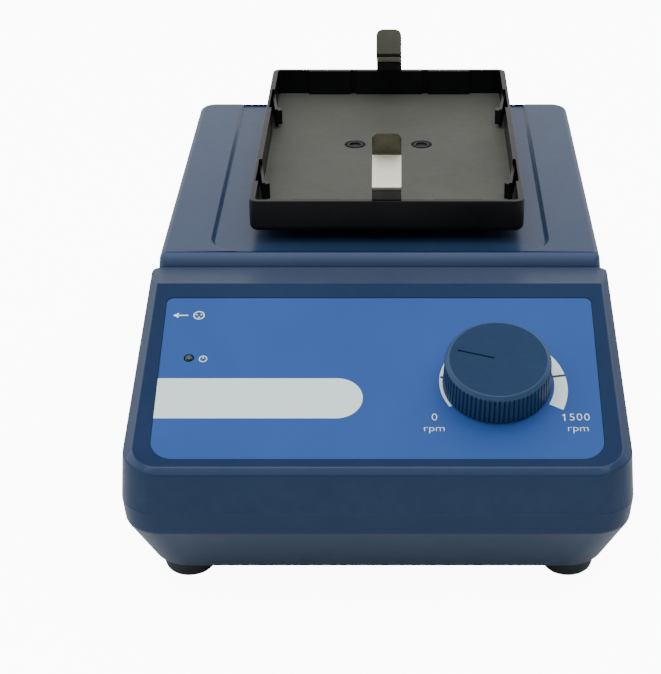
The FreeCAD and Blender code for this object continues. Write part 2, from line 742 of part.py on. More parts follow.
def make_knob():
    """The fluted speed knob, its spindle, and the potentiometer that it turns."""
    body = new_body("KnobBody")
    centre = tilted(PANEL_FRAME, "Size.knob_x", "0 - Size.knob_down", "Size.knob_gap")
    place(body, *centre, ACROSS, "Size.panel_tilt")
    half = sketch_on(body, "KnobProfile", "XZ_Plane")
    polygon(half, [("0", "Size.knob_height"), ("Size.knob_face", "Size.knob_height"),
                   ("Size.knob_top", "Size.knob_height - Size.knob_bevel"),
                   ("Size.knob_skirt", "0"), ("Size.knob_cavity", "0"),
                   ("Size.knob_cavity", "Size.knob_cavity_deep"),
                   ("Size.spindle", "Size.knob_cavity_deep"),
                   ("Size.spindle", "Size.knob_height - 2"),
                   ("0", "Size.knob_height - 2")])
    revolve(body, "KnobTurned", half)
    outline = sketch_on(body, "FluteOutline", "XY_Plane", "0", "0", "0 - 0.1")
    polygon(outline, [("Size.knob_skirt - Size.flute_deep", "0"),
                      ("Size.knob_skirt + 0.3", "0 - Size.flute_half"),
                      ("Size.knob_skirt + 0.3", "Size.flute_half")])
    flute = pocket(body, "Flute", outline, "Size.knob_height - Size.knob_bevel + 0.1", True)
    doc.recompute()
    ring = body.newObject("PartDesign::PolarPattern", "Flutes")
    ring.Originals = [flute]
    ring.Axis = (outline, ["N_Axis"])
    ring.Angle = 360
    ring.setExpression("Occurrences", "Size.flute_count")
    body.Tip = ring
    mark = sketch_on(body, "PointerOutline", "XY_Plane", "0", "0", "Size.knob_height")
    turn = f"placement(vector(0; 0; Size.knob_height); rotation({UPRIGHT}; Size.pointer_turn))"
    mark.setExpression("AttachmentOffset", turn)
    edge = "Size.pointer_width / 2"
    polygon(mark, [("Size.pointer_start", f"0 - {edge}"), ("Size.pointer_end", f"0 - {edge}"),
                   ("Size.pointer_end", edge), ("Size.pointer_start", edge)])
    pocket(body, "Pointer", mark, "Size.pointer_deep")
    node(body, "speed_knob")
    down = "0 - Size.knob_down"
    low = "0 - Size.wall - 5"
    spindle = tilted_cylinder("Spindle", PANEL_FRAME, "Size.spindle",
                              "Size.knob_gap + Size.knob_height - 2 + Size.wall + 5",
                              "Size.knob_x", down, low)
    node(spindle, "knob_spindle")
    base = "0 - Size.wall - Size.pot_height"
    can = tilted_cylinder("PotCan", PANEL_FRAME, "Size.pot_radius", "Size.pot_height",
                          "Size.knob_x", down, base)
    neck = tilted_cylinder("PotBushing", PANEL_FRAME, "Size.bushing", "Size.wall + 2.4",
                           "Size.knob_x", down, "0 - Size.wall")
    lugs = tilted_block("PotLugs", PANEL_FRAME, "10", "7", "1.2", "Size.knob_x - 5",
                        "0 - Size.knob_down + Size.pot_radius - 2", base)
    bore = tilted_cylinder("PotBore", PANEL_FRAME, "Size.spindle + Size.running_gap", "20",
                           "Size.knob_x", down, f"{low} - Size.open_gap")
    whole = fuse("PotWhole", [can, neck, lugs])
    node(cut("Potentiometer", whole, bore), "potentiometer")
    nut = doc.addObject("Part::Prism", "NutPrism")
    nut.Polygon = 6
    nut.setExpression("Circumradius", "5.6")
    nut.setExpression("Height", "1.9")
    place(nut, *tilted(PANEL_FRAME, "Size.knob_x", down, "0 - Size.label_recess"), ACROSS,
          "Size.panel_tilt")
    nut_bore = tilted_cylinder("NutBore", PANEL_FRAME, "Size.bushing", "8", "Size.knob_x",
                               down, "0 - 4")
    node(cut("PotNut", nut, nut_bore), "potentiometer_nut")


def make_led():
    """The domed power lamp in the panel."""
    down = "0 - Size.led_down"
    stem = tilted_cylinder("LedStem", PANEL_FRAME, "Size.led_radius", "6", "Size.led_x",
                           down, "0 - 6.3")
    flange = tilted_cylinder("LedFlange", PANEL_FRAME, "Size.led_radius + 0.5", "1.2",
                             "Size.led_x", down, "0 - 3.8")
    dome = doc.addObject("Part::Sphere", "LedDome")
    dome.setExpression("Radius", "Size.led_radius")
    place(dome, *tilted(PANEL_FRAME, "Size.led_x", down, "0 - 0.3 - Size.led_radius / 2"))
    node(fuse("PowerLed", [stem, flange, dome]), "power_led")


def spring_strip(name, towards, path, bends):
    """A flat strip swept along a bent line in Y and Z, mirrored front to back by towards."""
    body = new_body(name)
    place(body, "Size.orbit", TRAY_Y, "0")
    spine = sketch_on(body, f"{name}Spine", "YZ_Plane")
    corners = [(f"({towards}) * ({y})", z) for y, z in path]
    for start, end in zip(corners, corners[1:]):
        first = Vector(value(start[0]), value(start[1]), 0)
        last = Vector(value(end[0]), value(end[1]), 0)
        spine.addGeometry(Part.LineSegment(first, last))
    for index, (y, z) in enumerate(corners):
        line, point = (index, 1) if index < len(corners) - 1 else (index - 1, 2)
        bind(spine, "DistanceX", -1, 1, line, point, size=y)
        bind(spine, "DistanceY", -1, 1, line, point, size=z)
        if 0 < index < len(corners) - 1:
            spine.addConstraint(Sketcher.Constraint("Coincident", index - 1, 2, index, 1))
    section = sketch_on(body, f"{name}Section", "XY_Plane", "0", corners[0][0], corners[0][1])
    half, thin = "Size.clip_width / 2", "Size.clip_thick / 2"
    polygon(section, [(f"0 - {half}", f"0 - {thin}"), (half, f"0 - {thin}"), (half, thin),
                      (f"0 - {half}", thin)])
    sweep = body.newObject("PartDesign::AdditivePipe", f"{name}Sweep")
    sweep.Profile = section
    sweep.Spine = (spine, [f"Edge{number}" for number in range(1, len(corners))])
    sweep.Transition = "Right corner"
    width = value("Size.clip_width")
    spots = [(value(f"({towards}) * ({y})"), value(z)) for y, z in bends]

    def at_bend(edge, middle):
        across = abs(edge.Length - width) < 0.01
        return across and any(math.hypot(middle.y - y, middle.z - z) < 1 for y, z in spots)

    return soften(body, "Fillet", f"{name}Bends", sweep, at_bend, "0.3")


def make_clip(word, towards):
    """A spring clip: the leg held in the tray, and the blade that flexes at the rim."""
    name = word.capitalize()
    middle = "(Size.tray_length / 2 - Size.clip_in)"
    root = f"({RIM_Z} + Size.clip_above)"
    under = f"({TRAY_Z} - Size.clip_thick / 2)"
    leg_path = [(middle, root), (middle, under), (f"{middle} - Size.clip_foot", under)]
    leg = spring_strip(f"{name}Leg", towards, leg_path, leg_path[1:2])
    foot_y = f"{TRAY_Y} + ({towards}) * (Size.tray_length / 2 - Size.clip_screw_in)"
    hole = cylinder(f"{name}LegHole", "Size.clip_screw", "4", "Size.orbit - Size.clip_screw_x", foot_y,
                    f"{TRAY_Z} - 2")
    node(cut(f"{name}LegCut", leg.getParent(), hole), f"{word}_clip_leg")
    bend = f"({RIM_Z} + Size.clip_rise)"
    crease = (f"({middle} - Size.clip_lean)", f"({bend} + Size.clip_lean_rise)")
    tip = (f"({crease[0]} + Size.clip_tab_out)", f"({crease[1]} + Size.clip_tab_rise)")
    blade = spring_strip(f"{name}Blade", towards, [(middle, root), (middle, bend), crease, tip],
                         [(middle, bend), crease])
    body = blade.getParent()
    thick = value("Size.clip_thick")
    top = value(tip[1])
    soften(body, "Fillet", f"{name}BladeCorners", blade,
           lambda edge, spot: abs(edge.Length - thick) < 0.01 and abs(spot.z - top) < 1,
           "Size.clip_tab_corner")
    node(body, f"{word}_clip_blade")


def tray_finger(tag, hand, side_x, window_y, rise):
    """A spring finger in a side recess: rooted behind, leaning in, a nub at its free end."""
    body = new_body(f"Finger{tag}")
    place(body, side_x, f"{window_y} + Size.window_length / 2", f"{TRAY_Z} + 2.2",
          UPRIGHT, f"0 - ({hand}) * Size.finger_lean")
    outline = sketch_on(body, f"FingerOutline{tag}", "XY_Plane")
    half, inward = "Size.finger_thick / 2", f"0 - ({hand})"
    free = "0 - Size.finger_length"
    polygon(outline, [(half, "1"), (f"0 - {half}", "1"), (f"0 - {half}", free), (half, free)])
    pad(body, f"FingerPad{tag}", outline, f"{rise} - 1.4")
    nub = sketch_on(body, f"NubOutline{tag}", "XY_Plane", "0", "0", "0.6")
    tip = f"({inward}) * (Size.finger_nub + {half})"
    polygon(nub, [("0", free), ("0", f"{free} + 4.5"), (tip, f"{free} + 3.2"),
                  (tip, f"{free} + 1")])
    pad(body, f"NubPad{tag}", nub, f"{rise} - 2.6")
    return body


def make_tray():
    """The microplate tray: low walls, end pads, side fingers, screw seats, clip slots."""
    body = new_body("TrayBody")
    place(body, "Size.orbit", TRAY_Y, TRAY_Z)
    side, end = "Size.tray_width / 2", "Size.tray_length / 2"
    outline = sketch_on(body, "TrayOutline", "XY_Plane")
    rounded_outline(outline, side, side, end, end, "Size.tray_corner", "Size.tray_corner")
    outer = pad(body, "TrayPad", outline, "Size.tray_height")
    soften(body, "Fillet", "TrayRound", outer,
           lambda edge, middle: abs(middle.z) < 0.01, "Size.tray_round")
    room = sketch_on(body, "TrayRoom", "XY_Plane", "0", "0", "Size.tray_height")
    rounded_outline(room, f"{side} - Size.tray_side", f"{side} - Size.tray_side",
                    f"{end} - Size.tray_end", f"{end} - Size.tray_end", "1.2", "1.2")
    pocket(body, "TrayPocket", room, "Size.tray_height - Size.tray_floor")
    added, removed = [], []
    rise = "Size.tray_height - Size.window_top - 1.2"
    for fore in (-1, 1):
        wall_y = f"{TRAY_Y} + {fore} * ({end} - Size.tray_end - Size.pad_thick / 2 + 0.2)"
        window_y = f"{TRAY_Y} + {fore} * Size.window_offset - Size.window_shift"
        for hand in (-1, 1):
            tag = f"{fore + 1}{hand + 1}"
            added.append(middle_block(f"EndPad{tag}", "Size.pad_width", "Size.pad_thick + 0.4",
                                      "Size.tray_height - 1",
                                      f"Size.orbit + {hand} * Size.pad_offset", wall_y,
                                      f"{TRAY_Z} + 1"))
            side_x = f"Size.orbit + {hand} * ({side} - Size.tray_side / 2 - Size.window_skin)"
            removed.append(middle_block(f"Recess{tag}", "Size.tray_side", "Size.window_length",
                                        rise, side_x, window_y, f"{TRAY_Z} + 1.4"))
            ledge_x = f"Size.orbit + {hand} * ({side} - Size.tray_side)"
            removed.append(middle_block(f"Ledge{tag}", "Size.tray_side", "Size.window_length",
                                        "6", ledge_x, window_y, f"{RIM_Z} - 3"))
            finger_x = f"{side_x} + ({hand}) * 0.3"
            added.append(tray_finger(tag, hand, finger_x, window_y, rise))
        added.append(middle_block(f"ClipBlock{fore + 1}", "Size.clip_block_width",
                                  "Size.clip_block - 0.5", "Size.tray_height - 0.5",
                                  "Size.orbit",
                                  f"{TRAY_Y} + {fore} * ({end} - Size.clip_block / 2 - 0.25)",
                                  f"{TRAY_Z} + 0.5"))
        screw_x = f"Size.orbit + {fore} * Size.tray_screw_offset"
        removed.append(cylinder(f"TrayScrewSeat{fore + 1}", "Size.screw_seat", "4", screw_x,
                                DRIVE_Y, f"{TRAY_Z} + 0.7"))
        removed.append(cylinder(f"TrayScrewHole{fore + 1}", "Size.screw_hole", "6", screw_x,
                                DRIVE_Y, f"{TRAY_Z} - 1"))
    whole = fuse("TrayWhole", [cut("TrayOpened", body, fuse("TrayCuts", removed))] + added)
    slots = []
    for fore in (-1, 1):
        slots.append(middle_block(f"ClipSlot{fore + 1}", "Size.clip_width + 0.2",
                                  "Size.clip_thick + 0.1", "Size.tray_height + 2",
                                  "Size.orbit", f"{TRAY_Y} + {fore} * ({end} - Size.clip_in)",
                                  f"{TRAY_Z} - 1"))
        slots.append(cylinder(f"ClipScrewHole{fore + 1}", "Size.clip_screw", "1.9",
                              "Size.orbit - Size.clip_screw_x",
                              f"{TRAY_Y} + {fore} * ({end} - Size.clip_screw_in)",
                              f"{TRAY_Z} - 1"))
    node(cut("Tray", whole, fuse("ClipSlots", slots)), "microplate_tray")
    seats = [(f"Size.orbit + {hand} * Size.tray_screw_offset", DRIVE_Y) for hand in (-1, 1)]
    node(screw_set("TrayScrews", seats, "3", "0.7", "Size.screw", "8", f"{TRAY_Z} + 0.7", -1),
         "tray_screws")
    ends = [("Size.orbit - Size.clip_screw_x",
             f"{TRAY_Y} + {fore} * ({end} - Size.clip_screw_in)") for fore in (-1, 1)]
    node(screw_set("ClipScrews", ends, "1.7", "1.3", "Size.clip_screw",
                   "Size.clip_thick + 0.9", f"{TRAY_Z} - Size.clip_thick"), "clip_screws")


def ring(name, outer, inner, height, x, y, z):
    """A ring about an upright axis."""
    disc = cylinder(f"{name}Disc", outer, height, x, y, z)
    bore = cylinder(f"{name}Bore", inner, f"{height} + 2", x, y, f"{z} - 1")
    return cut(name, disc, bore)


def make_base_of_drive():
    """The fixed half of the drive: pillars, plate, motor and the idlers' bushings."""
    pillar_high = "Size.plate_level - Size.floor_level"
    pillars = [cylinder(f"Pillar{index}", "3.5", pillar_high, x, y, "Size.floor_level")
               for index, (x, y) in enumerate(PLATE_PLACES)]
    node(group("Pillars", pillars), "plate_pillars")
    plate = new_body("PlateBody")
    place(plate, "0", DRIVE_Y, "Size.plate_level")
    outline = sketch_on(plate, "PlateOutline", "XY_Plane")
    half, reach = "Size.plate_width / 2", "Size.plate_depth / 2"
    rounded_outline(outline, half, half, reach, reach, "4", "4")
    pad(plate, "PlatePad", outline, "Size.plate_thick")
    holes = [cylinder("PlateBoss", "Size.motor_boss + 0.05", "6", "0", DRIVE_Y,
                      "Size.plate_level - 1")]
    for hand in (-1, 1):
        holes.append(cylinder(f"PlateIdler{hand + 1}", "5", "6",
                              f"{hand} * Size.idler_offset", DRIVE_Y,
                              "Size.plate_level - 1"))
        holes.append(cylinder(f"PlateMotor{hand + 1}", "Size.screw", "6",
                              f"{hand} * 12.5", DRIVE_Y, "Size.plate_level - 1"))
    for index, (x, y) in enumerate(PLATE_PLACES):
        holes.append(cylinder(f"PlateCorner{index}", "Size.screw", "6", x, y,
                              "Size.plate_level - 1"))
    node(cut("DrivePlate", plate, fuse("PlateHoles", holes)), "drive_plate")
    node(screw_set("PlateScrews", PLATE_PLACES, "2.8", "1.8", "Size.screw",
                   "Size.plate_thick", PLATE_TOP, -1), "plate_screws")
    motor_places = [(f"{hand} * 12.5", DRIVE_Y) for hand in (-1, 1)]
    node(screw_set("MotorScrews", motor_places, "2.5", "1.6", "Size.screw",
                   "Size.plate_thick", PLATE_TOP, -1), "motor_screws")
    can_z = "Size.plate_level - Size.motor_height"
    can = cylinder("MotorCan", "Size.motor_radius", "Size.motor_height", "0", DRIVE_Y, can_z)
    boss = cylinder("MotorBoss", "Size.motor_boss", "Size.motor_height + 3", "0", DRIVE_Y,
                    can_z)
    cap = cylinder("MotorCap", "7", "2", "0", DRIVE_Y, f"{can_z} - 2")
    lugs = middle_block("MotorLugs", "8", "26", "1.5", "0", DRIVE_Y, f"{can_z} - 1.5")
    bore = cylinder("MotorBore", "Size.shaft + Size.running_gap", "60", "0", DRIVE_Y,
                    f"{can_z} + 4")
    whole = fuse("MotorWhole", [can, boss, cap, lugs])
    node(cut("Motor", whole, bore), "drive_motor")
    bushings = []
    for hand in (-1, 1):
        x = f"{hand} * Size.idler_offset"
        sleeve = cylinder(f"BushSleeve{hand + 1}", "5", "5", x, DRIVE_Y,
                          "Size.plate_level - 1")
        collar = cylinder(f"BushCollar{hand + 1}", "6.5", "1", x, DRIVE_Y, PLATE_TOP)
        bore = cylinder(f"BushBore{hand + 1}", "Size.pin + Size.running_gap", "9", x,
                        DRIVE_Y, "Size.plate_level - 3")
        bushings.append(cut(f"Bush{hand + 1}", fuse(f"BushBody{hand + 1}", [sleeve, collar]),
                            bore))
    node(group("Bushings", bushings), "idler_bushings")


def make_cranks():
    """The driven crank with its counterweight, and the two idlers that keep the platform square."""
    shaft_low = "Size.plate_level - Size.motor_height + 6"
    shaft = cylinder("Shaft", "Size.shaft", f"{PIN_Z} - 1 - ({shaft_low})", "0", DRIVE_Y,
                     shaft_low)
    node(shaft, "motor_shaft")
    hub = cylinder("HubDrum", "Size.hub_radius", "Size.hub_height", "0", DRIVE_Y, HUB_Z)
    pin = cylinder("HubPin", "Size.pin", f"{CARRIAGE_TOP} + 0.5 - {PIN_Z}", "Size.orbit",
                   DRIVE_Y, PIN_Z)
    shaft_bore = cylinder("HubBore", "Size.shaft", "Size.hub_height", "0", DRIVE_Y,
                          f"{HUB_Z} - 1")
    grub_bore = cylinder("GrubBore", "Size.screw", "9", "0", f"{DRIVE_Y} + 1",
                         f"{HUB_Z} + 6.3", ACROSS, "-90")
    whole = fuse("HubWhole", [hub, pin])
    node(cut("Hub", whole, fuse("HubBores", [shaft_bore, grub_bore])), "eccentric_hub")
    grub = cylinder("Grub", "Size.screw", "Size.hub_radius - Size.shaft - 0.8", "0",
                    f"{DRIVE_Y} + Size.shaft", f"{HUB_Z} + 6.3", ACROSS, "-90")
    node(grub, "hub_grub_screw")
    disc = ring("WeightRing", "Size.weight_radius", "Size.hub_radius", "Size.weight_height",
                "0", DRIVE_Y, HUB_Z)
    keep = block("WeightHalf", "30", "60", "Size.weight_height", "0 - 30",
                 f"{DRIVE_Y} - 30", HUB_Z)
    node(common("Weight", [disc, keep]), "counterweight")
    for word, hand in (("left", -1), ("right", 1)):
        x = f"{hand} * Size.idler_offset"
        journal = cylinder(f"{word}Journal", "Size.pin", "9", x, DRIVE_Y,
                           "Size.plate_level - 3")
        web = cylinder(f"{word}Web", "6.5", "5", f"{x} + Size.orbit / 2", DRIVE_Y,
                       f"{PLATE_TOP} + 1.3")
        top = cylinder(f"{word}Top", "Size.shaft", f"{CARRIAGE_TOP} - {PLATE_TOP} - 3",
                       f"{x} + Size.orbit", DRIVE_Y, f"{PLATE_TOP} + 3")
        node(fuse(f"{word}Idler", [journal, web, top]), f"{word}_idler_crank")


def make_platform():
    """The carriage under the deck, its bearings, and the neck that carries the tray."""
    plate = new_body("CarriageBody")
    place(plate, "Size.orbit", DRIVE_Y, "Size.carriage_level")
    outline = sketch_on(plate, "CarriageOutline", "XY_Plane")
    half, reach = "Size.carriage_width / 2", "Size.carriage_depth / 2"
    rounded_outline(outline, half, half, reach, reach, "8", "8")
    pad(plate, "CarriagePad", outline, "Size.carriage_thick")
    places = ["Size.orbit", "Size.orbit - Size.idler_offset", "Size.orbit + Size.idler_offset"]
    gaps = ["Size.pin + Size.running_gap", "Size.shaft + Size.open_gap",
            "Size.shaft + Size.open_gap"]
    low = "Size.carriage_level - 1"
    holes = [cylinder(f"CarriageHole{index}", "Size.bearing_radius", "9", x, DRIVE_Y, low)
             for index, x in enumerate(places)]
    flange_x = "Size.flange - 4"
    screws = [(f"Size.orbit + {hand} * 0.7 * ({flange_x})",
               f"{DRIVE_Y} + {fore} * 0.7 * ({flange_x})")
              for hand in (-1, 1) for fore in (-1, 1)]
    for index, (x, y) in enumerate(screws):
        holes.append(cylinder(f"CarriageBore{index}", "Size.screw", "9", x, y, low))
    node(cut("Carriage", plate, fuse("CarriageHoles", holes)), "platform_carriage")
    rings = [ring(f"Bearing{index}", "Size.bearing_radius", gap, "Size.carriage_thick", x,
                  DRIVE_Y, "Size.carriage_level")
             for index, (x, gap) in enumerate(zip(places, gaps))]
    node(group("Bearings", rings), "carriage_bearings")
    flange = cylinder("NeckFlange", "Size.flange", "Size.flange_thick", "Size.orbit",
                      DRIVE_Y, CARRIAGE_TOP)
    neck = cylinder("Neck", "Size.neck", f"{TRAY_Z} - {CARRIAGE_TOP}", "Size.orbit",
                    DRIVE_Y, CARRIAGE_TOP)
    room = cylinder("NeckRoom", "9", "5", "Size.orbit", DRIVE_Y, f"{CARRIAGE_TOP} - 1")
    bores = [room]
    for hand in (-1, 1):
        bores.append(cylinder(f"NeckBore{hand + 1}", "Size.screw", "9",
                              f"Size.orbit + {hand} * Size.tray_screw_offset", DRIVE_Y,
                              f"{TRAY_Z} - 8"))
    for index, (x, y) in enumerate(screws):
        bores.append(cylinder(f"FlangeBore{index}", "Size.screw", "9", x, y, CARRIAGE_TOP))
    whole = fuse("NeckWhole", [flange, neck])
    node(cut("PlatformNeck", whole, fuse("NeckBores", bores)), "platform_neck")
    node(screw_set("NeckScrews", screws, "2.6", "1.4", "Size.screw", "8",
                   f"{CARRIAGE_TOP} + Size.flange_thick", -1), "neck_screws")


def make_inlet():
    """The three-pole mains inlet in the rear wall, with its pins and screws."""
    left = "Size.inlet_x - Size.inlet_width / 2"
    bottom = "Size.inlet_up - Size.inlet_height / 2"
    box = tilted_block("InletBox", REAR_FRAME, "Size.inlet_width", "Size.inlet_deep + 2",
                       "Size.inlet_height", left, "0 - Size.inlet_deep - 2", bottom)
    flange = tilted_block("InletFlange", REAR_FRAME, "Size.inlet_flange", "Size.inlet_skin",
                          "Size.inlet_flange_height",
                          "Size.inlet_x - Size.inlet_flange / 2", "0",
                          "Size.inlet_up - Size.inlet_flange_height / 2")
    room = new_body("InletRoom")
    place(room, *tilted(REAR_FRAME, "Size.inlet_x", "Size.inlet_skin + 1",
                        "Size.inlet_up"), ACROSS, REAR_TILT)
    mouth = sketch_on(room, "InletMouth", "XZ_Plane")
    wide, high = "Size.inlet_width / 2 - 1.6", "Size.inlet_height / 2 - 1.8"
    polygon(mouth, [(f"0 - ({wide})", f"0 - ({high})"), (wide, f"0 - ({high})"),
                    (wide, f"{high} - 5"), (f"{wide} - 5", high), (f"5 - ({wide})", high),
                    (f"0 - ({wide})", f"{high} - 5")])
    pad(room, "InletRoomPad", mouth, "Size.inlet_skin + Size.inlet_deep")
    cuts = [room]
    for hand in (-1, 1):
        cuts.append(wall_cylinder(f"InletFlangeHole{hand + 1}", REAR_FRAME, "Size.screw",
                                  "9", f"Size.inlet_x + {hand} * Size.inlet_pitch / 2",
                                  "0 - 3", "Size.inlet_up"))
    pins = []
    for index, (x, z) in enumerate((("0 - 7", "0 - 2"), ("7", "0 - 2"), ("0", "2"))):
        size = ("2", "19", "4", f"Size.inlet_x + {x} - 1", "0 - Size.inlet_deep - 5",
                f"Size.inlet_up + {z} - 2")
        pins.append(tilted_block(f"InletPin{index}", REAR_FRAME, *size))
        cuts.append(tilted_block(f"InletPinSlot{index}", REAR_FRAME, *size))
    whole = fuse("InletWhole", [box, flange])
    node(cut("MainsInlet", whole, fuse("InletCuts", cuts)), "mains_inlet")
    node(group("InletPins", pins), "inlet_pins")
    screws = []
    for hand in (-1, 1):
        x = f"Size.inlet_x + {hand} * Size.inlet_pitch / 2"
        top = wall_cylinder(f"InletScrewTop{hand + 1}", REAR_FRAME, "2.7", "1.4", x,
                            "Size.inlet_skin", "Size.inlet_up")
        stem = wall_cylinder(f"InletScrewStem{hand + 1}", REAR_FRAME, "Size.screw", "9", x,
                             "Size.inlet_skin - 8", "Size.inlet_up")
        screws.append(fuse(f"InletScrew{hand + 1}", [top, stem]))
    node(group("InletScrews", screws), "inlet_screws")


def make_switch():
    """The power switch's bezel and its rocker."""
    outer = tilted_block("BezelOuter", REAR_FRAME, "Size.bezel_width", "Size.bezel_skin",
                         "Size.bezel_height", "Size.switch_x - Size.bezel_width / 2", "0",
                         "Size.switch_up - Size.bezel_height / 2")
    case = tilted_block("BezelCase", REAR_FRAME, "Size.bezel_width - 2.4", "14",
                        "Size.bezel_height - 2.4",
                        "Size.switch_x - Size.bezel_width / 2 + 1.2", "0 - 14",
                        "Size.switch_up - Size.bezel_height / 2 + 1.2")
    gap = "0.35"
    room = tilted_block("BezelRoom", REAR_FRAME, f"Size.rocker_width + 2 * {gap}", "14",
                        f"Size.rocker_height + 2 * {gap}",
                        f"Size.switch_x - Size.rocker_width / 2 - {gap}", "0 - 8",
                        f"Size.switch_up - Size.rocker_height / 2 - {gap}")
    node(cut("SwitchBezel", fuse("BezelWhole", [outer, case]), room), "switch_bezel")
    body = new_body("RockerBody")
    place(body, *tilted(REAR_FRAME, "Size.switch_x", "0 - Size.rocker_pivot",
                        "Size.switch_up"), ACROSS, f"{REAR_TILT} + Size.rocker_turn * 1 deg")
    profile = sketch_on(body, "RockerProfile", "YZ_Plane")
    half = "(Size.rocker_height / 2 - 0.8)"
    polygon(profile, [("0 - 0.5", f"0 - {half}"), ("3.2", f"0 - {half}"), ("2.2", "0"),
                      ("3.2", half), ("0 - 0.5", half), ("0 - 3.5", "0")])
    pad(body, "RockerPad", profile, "Size.rocker_width").SideType = "Symmetric"
    node(body, "power_rocker")


def make_electronics():
    """The speed board with its parts, and the mains transformer."""
    board_y = f"{FRONT_Y} + Size.board_in + Size.board_depth / 2"
    board = middle_block("Board", "Size.board_width", "Size.board_depth",
                         "Size.board_thick", "0", board_y, "Size.board_level")
    node(board, "control_board")
    corners = four_corners("Size.board_width / 2 - 4", f"{board_y} - 18", f"{board_y} + 18")
    posts = [cylinder(f"Post{index}", "2.5", "Size.board_level - Size.floor_level", x, y,
                      "Size.floor_level") for index, (x, y) in enumerate(corners)]
    node(group("Posts", posts), "board_posts")
    top = "Size.board_level + Size.board_thick"
    parts = [
        cylinder("Capacitor", "6", "16", "-30", f"{board_y} + 8", top),
        cylinder("SmallCapacitor", "4", "11", "-16", f"{board_y} + 10", top),
        middle_block("Relay", "15", "12", "11", "4", f"{board_y} + 8", top),
        middle_block("HeatSink", "24", "8", "14", "28", f"{board_y} + 12", top),
        middle_block("Chip", "16", "7", "3", "-20", f"{board_y} - 8", top),
        middle_block("Connector", "20", "6", "8", "14", f"{board_y} - 10", top),
    ]
    node(group("BoardParts", parts), "board_components")
    core_y = f"{board_y} + 54"
    core = middle_block("Core", "36", "22", "30", "0 - 34", core_y, "Size.floor_level")
    node(core, "transformer_core")
    shell = middle_block("CoilOuter", "24", "34", "20", "0 - 34", core_y,
                         "Size.floor_level + 5")
    slot = middle_block("CoilSlot", "36", "22", "30", "0 - 34", core_y, "Size.floor_level")
    node(cut("Coil", shell, slot), "transformer_coil")


make_lower_shell()
make_front_cover()
make_rear_cover()
make_panel_label()
make_feet()
make_knob()
make_led()
make_tray()
make_clip("front", "-1")
make_clip("back", "1")
make_base_of_drive()
make_cranks()
make_platform()
make_inlet()
make_switch()
make_electronics()
doc.recompute()

for thing in doc.Objects:
    if "Invalid" in thing.State or "Error" in thing.State:
        raise RuntimeError(f"{thing.Name} is {thing.State}")
for piece in nodes:
    if piece.Shape.isNull() or not piece.Shape.isValid():
        raise RuntimeError(f"{piece.Label} has no valid shape")

os.makedirs("parts", exist_ok=True)
whole_box = FreeCAD.BoundBox()
for piece in nodes:
    whole_box.add(piece.Shape.BoundBox)
    piece.Shape.exportStep(f"parts/{piece.Label}.step")
    print(piece.Label, len(piece.Shape.Solids), round(piece.Shape.Volume, 1))
print(len(nodes), "nodes", whole_box)
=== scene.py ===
"""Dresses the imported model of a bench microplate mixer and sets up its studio.

Every class holds its sizes in millimetres. A finished mesh is stored in metres, in the frame
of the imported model: +Z is up and the control panel faces -Y.
"""

import logging
from dataclasses import dataclass, field, replace
from enum import Enum
from math import atan2, cos, radians, sin, sqrt, tan, tau
from typing import Callable, Iterable, Sequence

import bmesh
import bpy
from bmesh.types import BMEdge, BMVert
from bpy.types import Material, Mesh, Node, NodeSocket, NodeTree, Object
from mathutils import Matrix, Vector


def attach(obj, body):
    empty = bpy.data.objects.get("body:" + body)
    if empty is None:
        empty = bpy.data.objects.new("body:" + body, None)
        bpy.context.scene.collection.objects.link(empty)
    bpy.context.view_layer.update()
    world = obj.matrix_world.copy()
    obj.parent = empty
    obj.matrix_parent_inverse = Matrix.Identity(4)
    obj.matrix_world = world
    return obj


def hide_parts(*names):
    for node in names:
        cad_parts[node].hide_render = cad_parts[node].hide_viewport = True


logging.basicConfig(level=logging.INFO, format="%(message)s")
log = logging.getLogger("mixer")

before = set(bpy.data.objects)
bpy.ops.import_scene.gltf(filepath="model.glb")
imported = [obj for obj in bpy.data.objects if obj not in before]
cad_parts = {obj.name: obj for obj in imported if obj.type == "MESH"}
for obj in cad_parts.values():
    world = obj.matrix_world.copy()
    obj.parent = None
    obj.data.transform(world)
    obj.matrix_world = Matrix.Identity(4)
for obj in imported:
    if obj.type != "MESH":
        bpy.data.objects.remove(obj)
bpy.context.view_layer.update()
MM = 0.001
NEAR = 1e-4
LEAST_CORNER = 0.3
QUARTER_TURN = 1.5708
SIDES = (-1, 1)
WHITE = (1, 1, 1, 1)
Zone = Callable[[Vector, Vector], bool]
Pair = tuple[float, float]
Triple = tuple[float, float, float]


def rotation(degrees: float, axis: str) -> Matrix:
    """Return a rotation about an axis through the origin."""
    return Matrix.Rotation(radians(degrees), 4, axis)


def only(kind: type, items: Iterable[object]) -> list:
    """Return the items of one kind."""
    return [item for item in items if isinstance(item, kind)]


def show(name: str, data: object) -> Object:
    """Make an object of the data and link it to the scene.

    Args:
        name: its name.
        data: its mesh, light or camera.

    Returns:
        The object.
    """
    holder = bpy.data.objects.new(name, data)
    bpy.context.scene.collection.objects.link(holder)
    return holder


class Join(Enum):
    """How two forms are put together."""

    CUT = "DIFFERENCE"
    ADD = "UNION"
    KEEP = "INTERSECT"


class Texture(Enum):
    """The fine structure of a finish."""

    MOULDED = "moulded"
    BRUSHED = "brushed"
    TURNED = "turned"
    LAYERED = "layered"
    PRINTED = "printed"


# ---------------------------------------------------------------------------
# Shapes
# ---------------------------------------------------------------------------


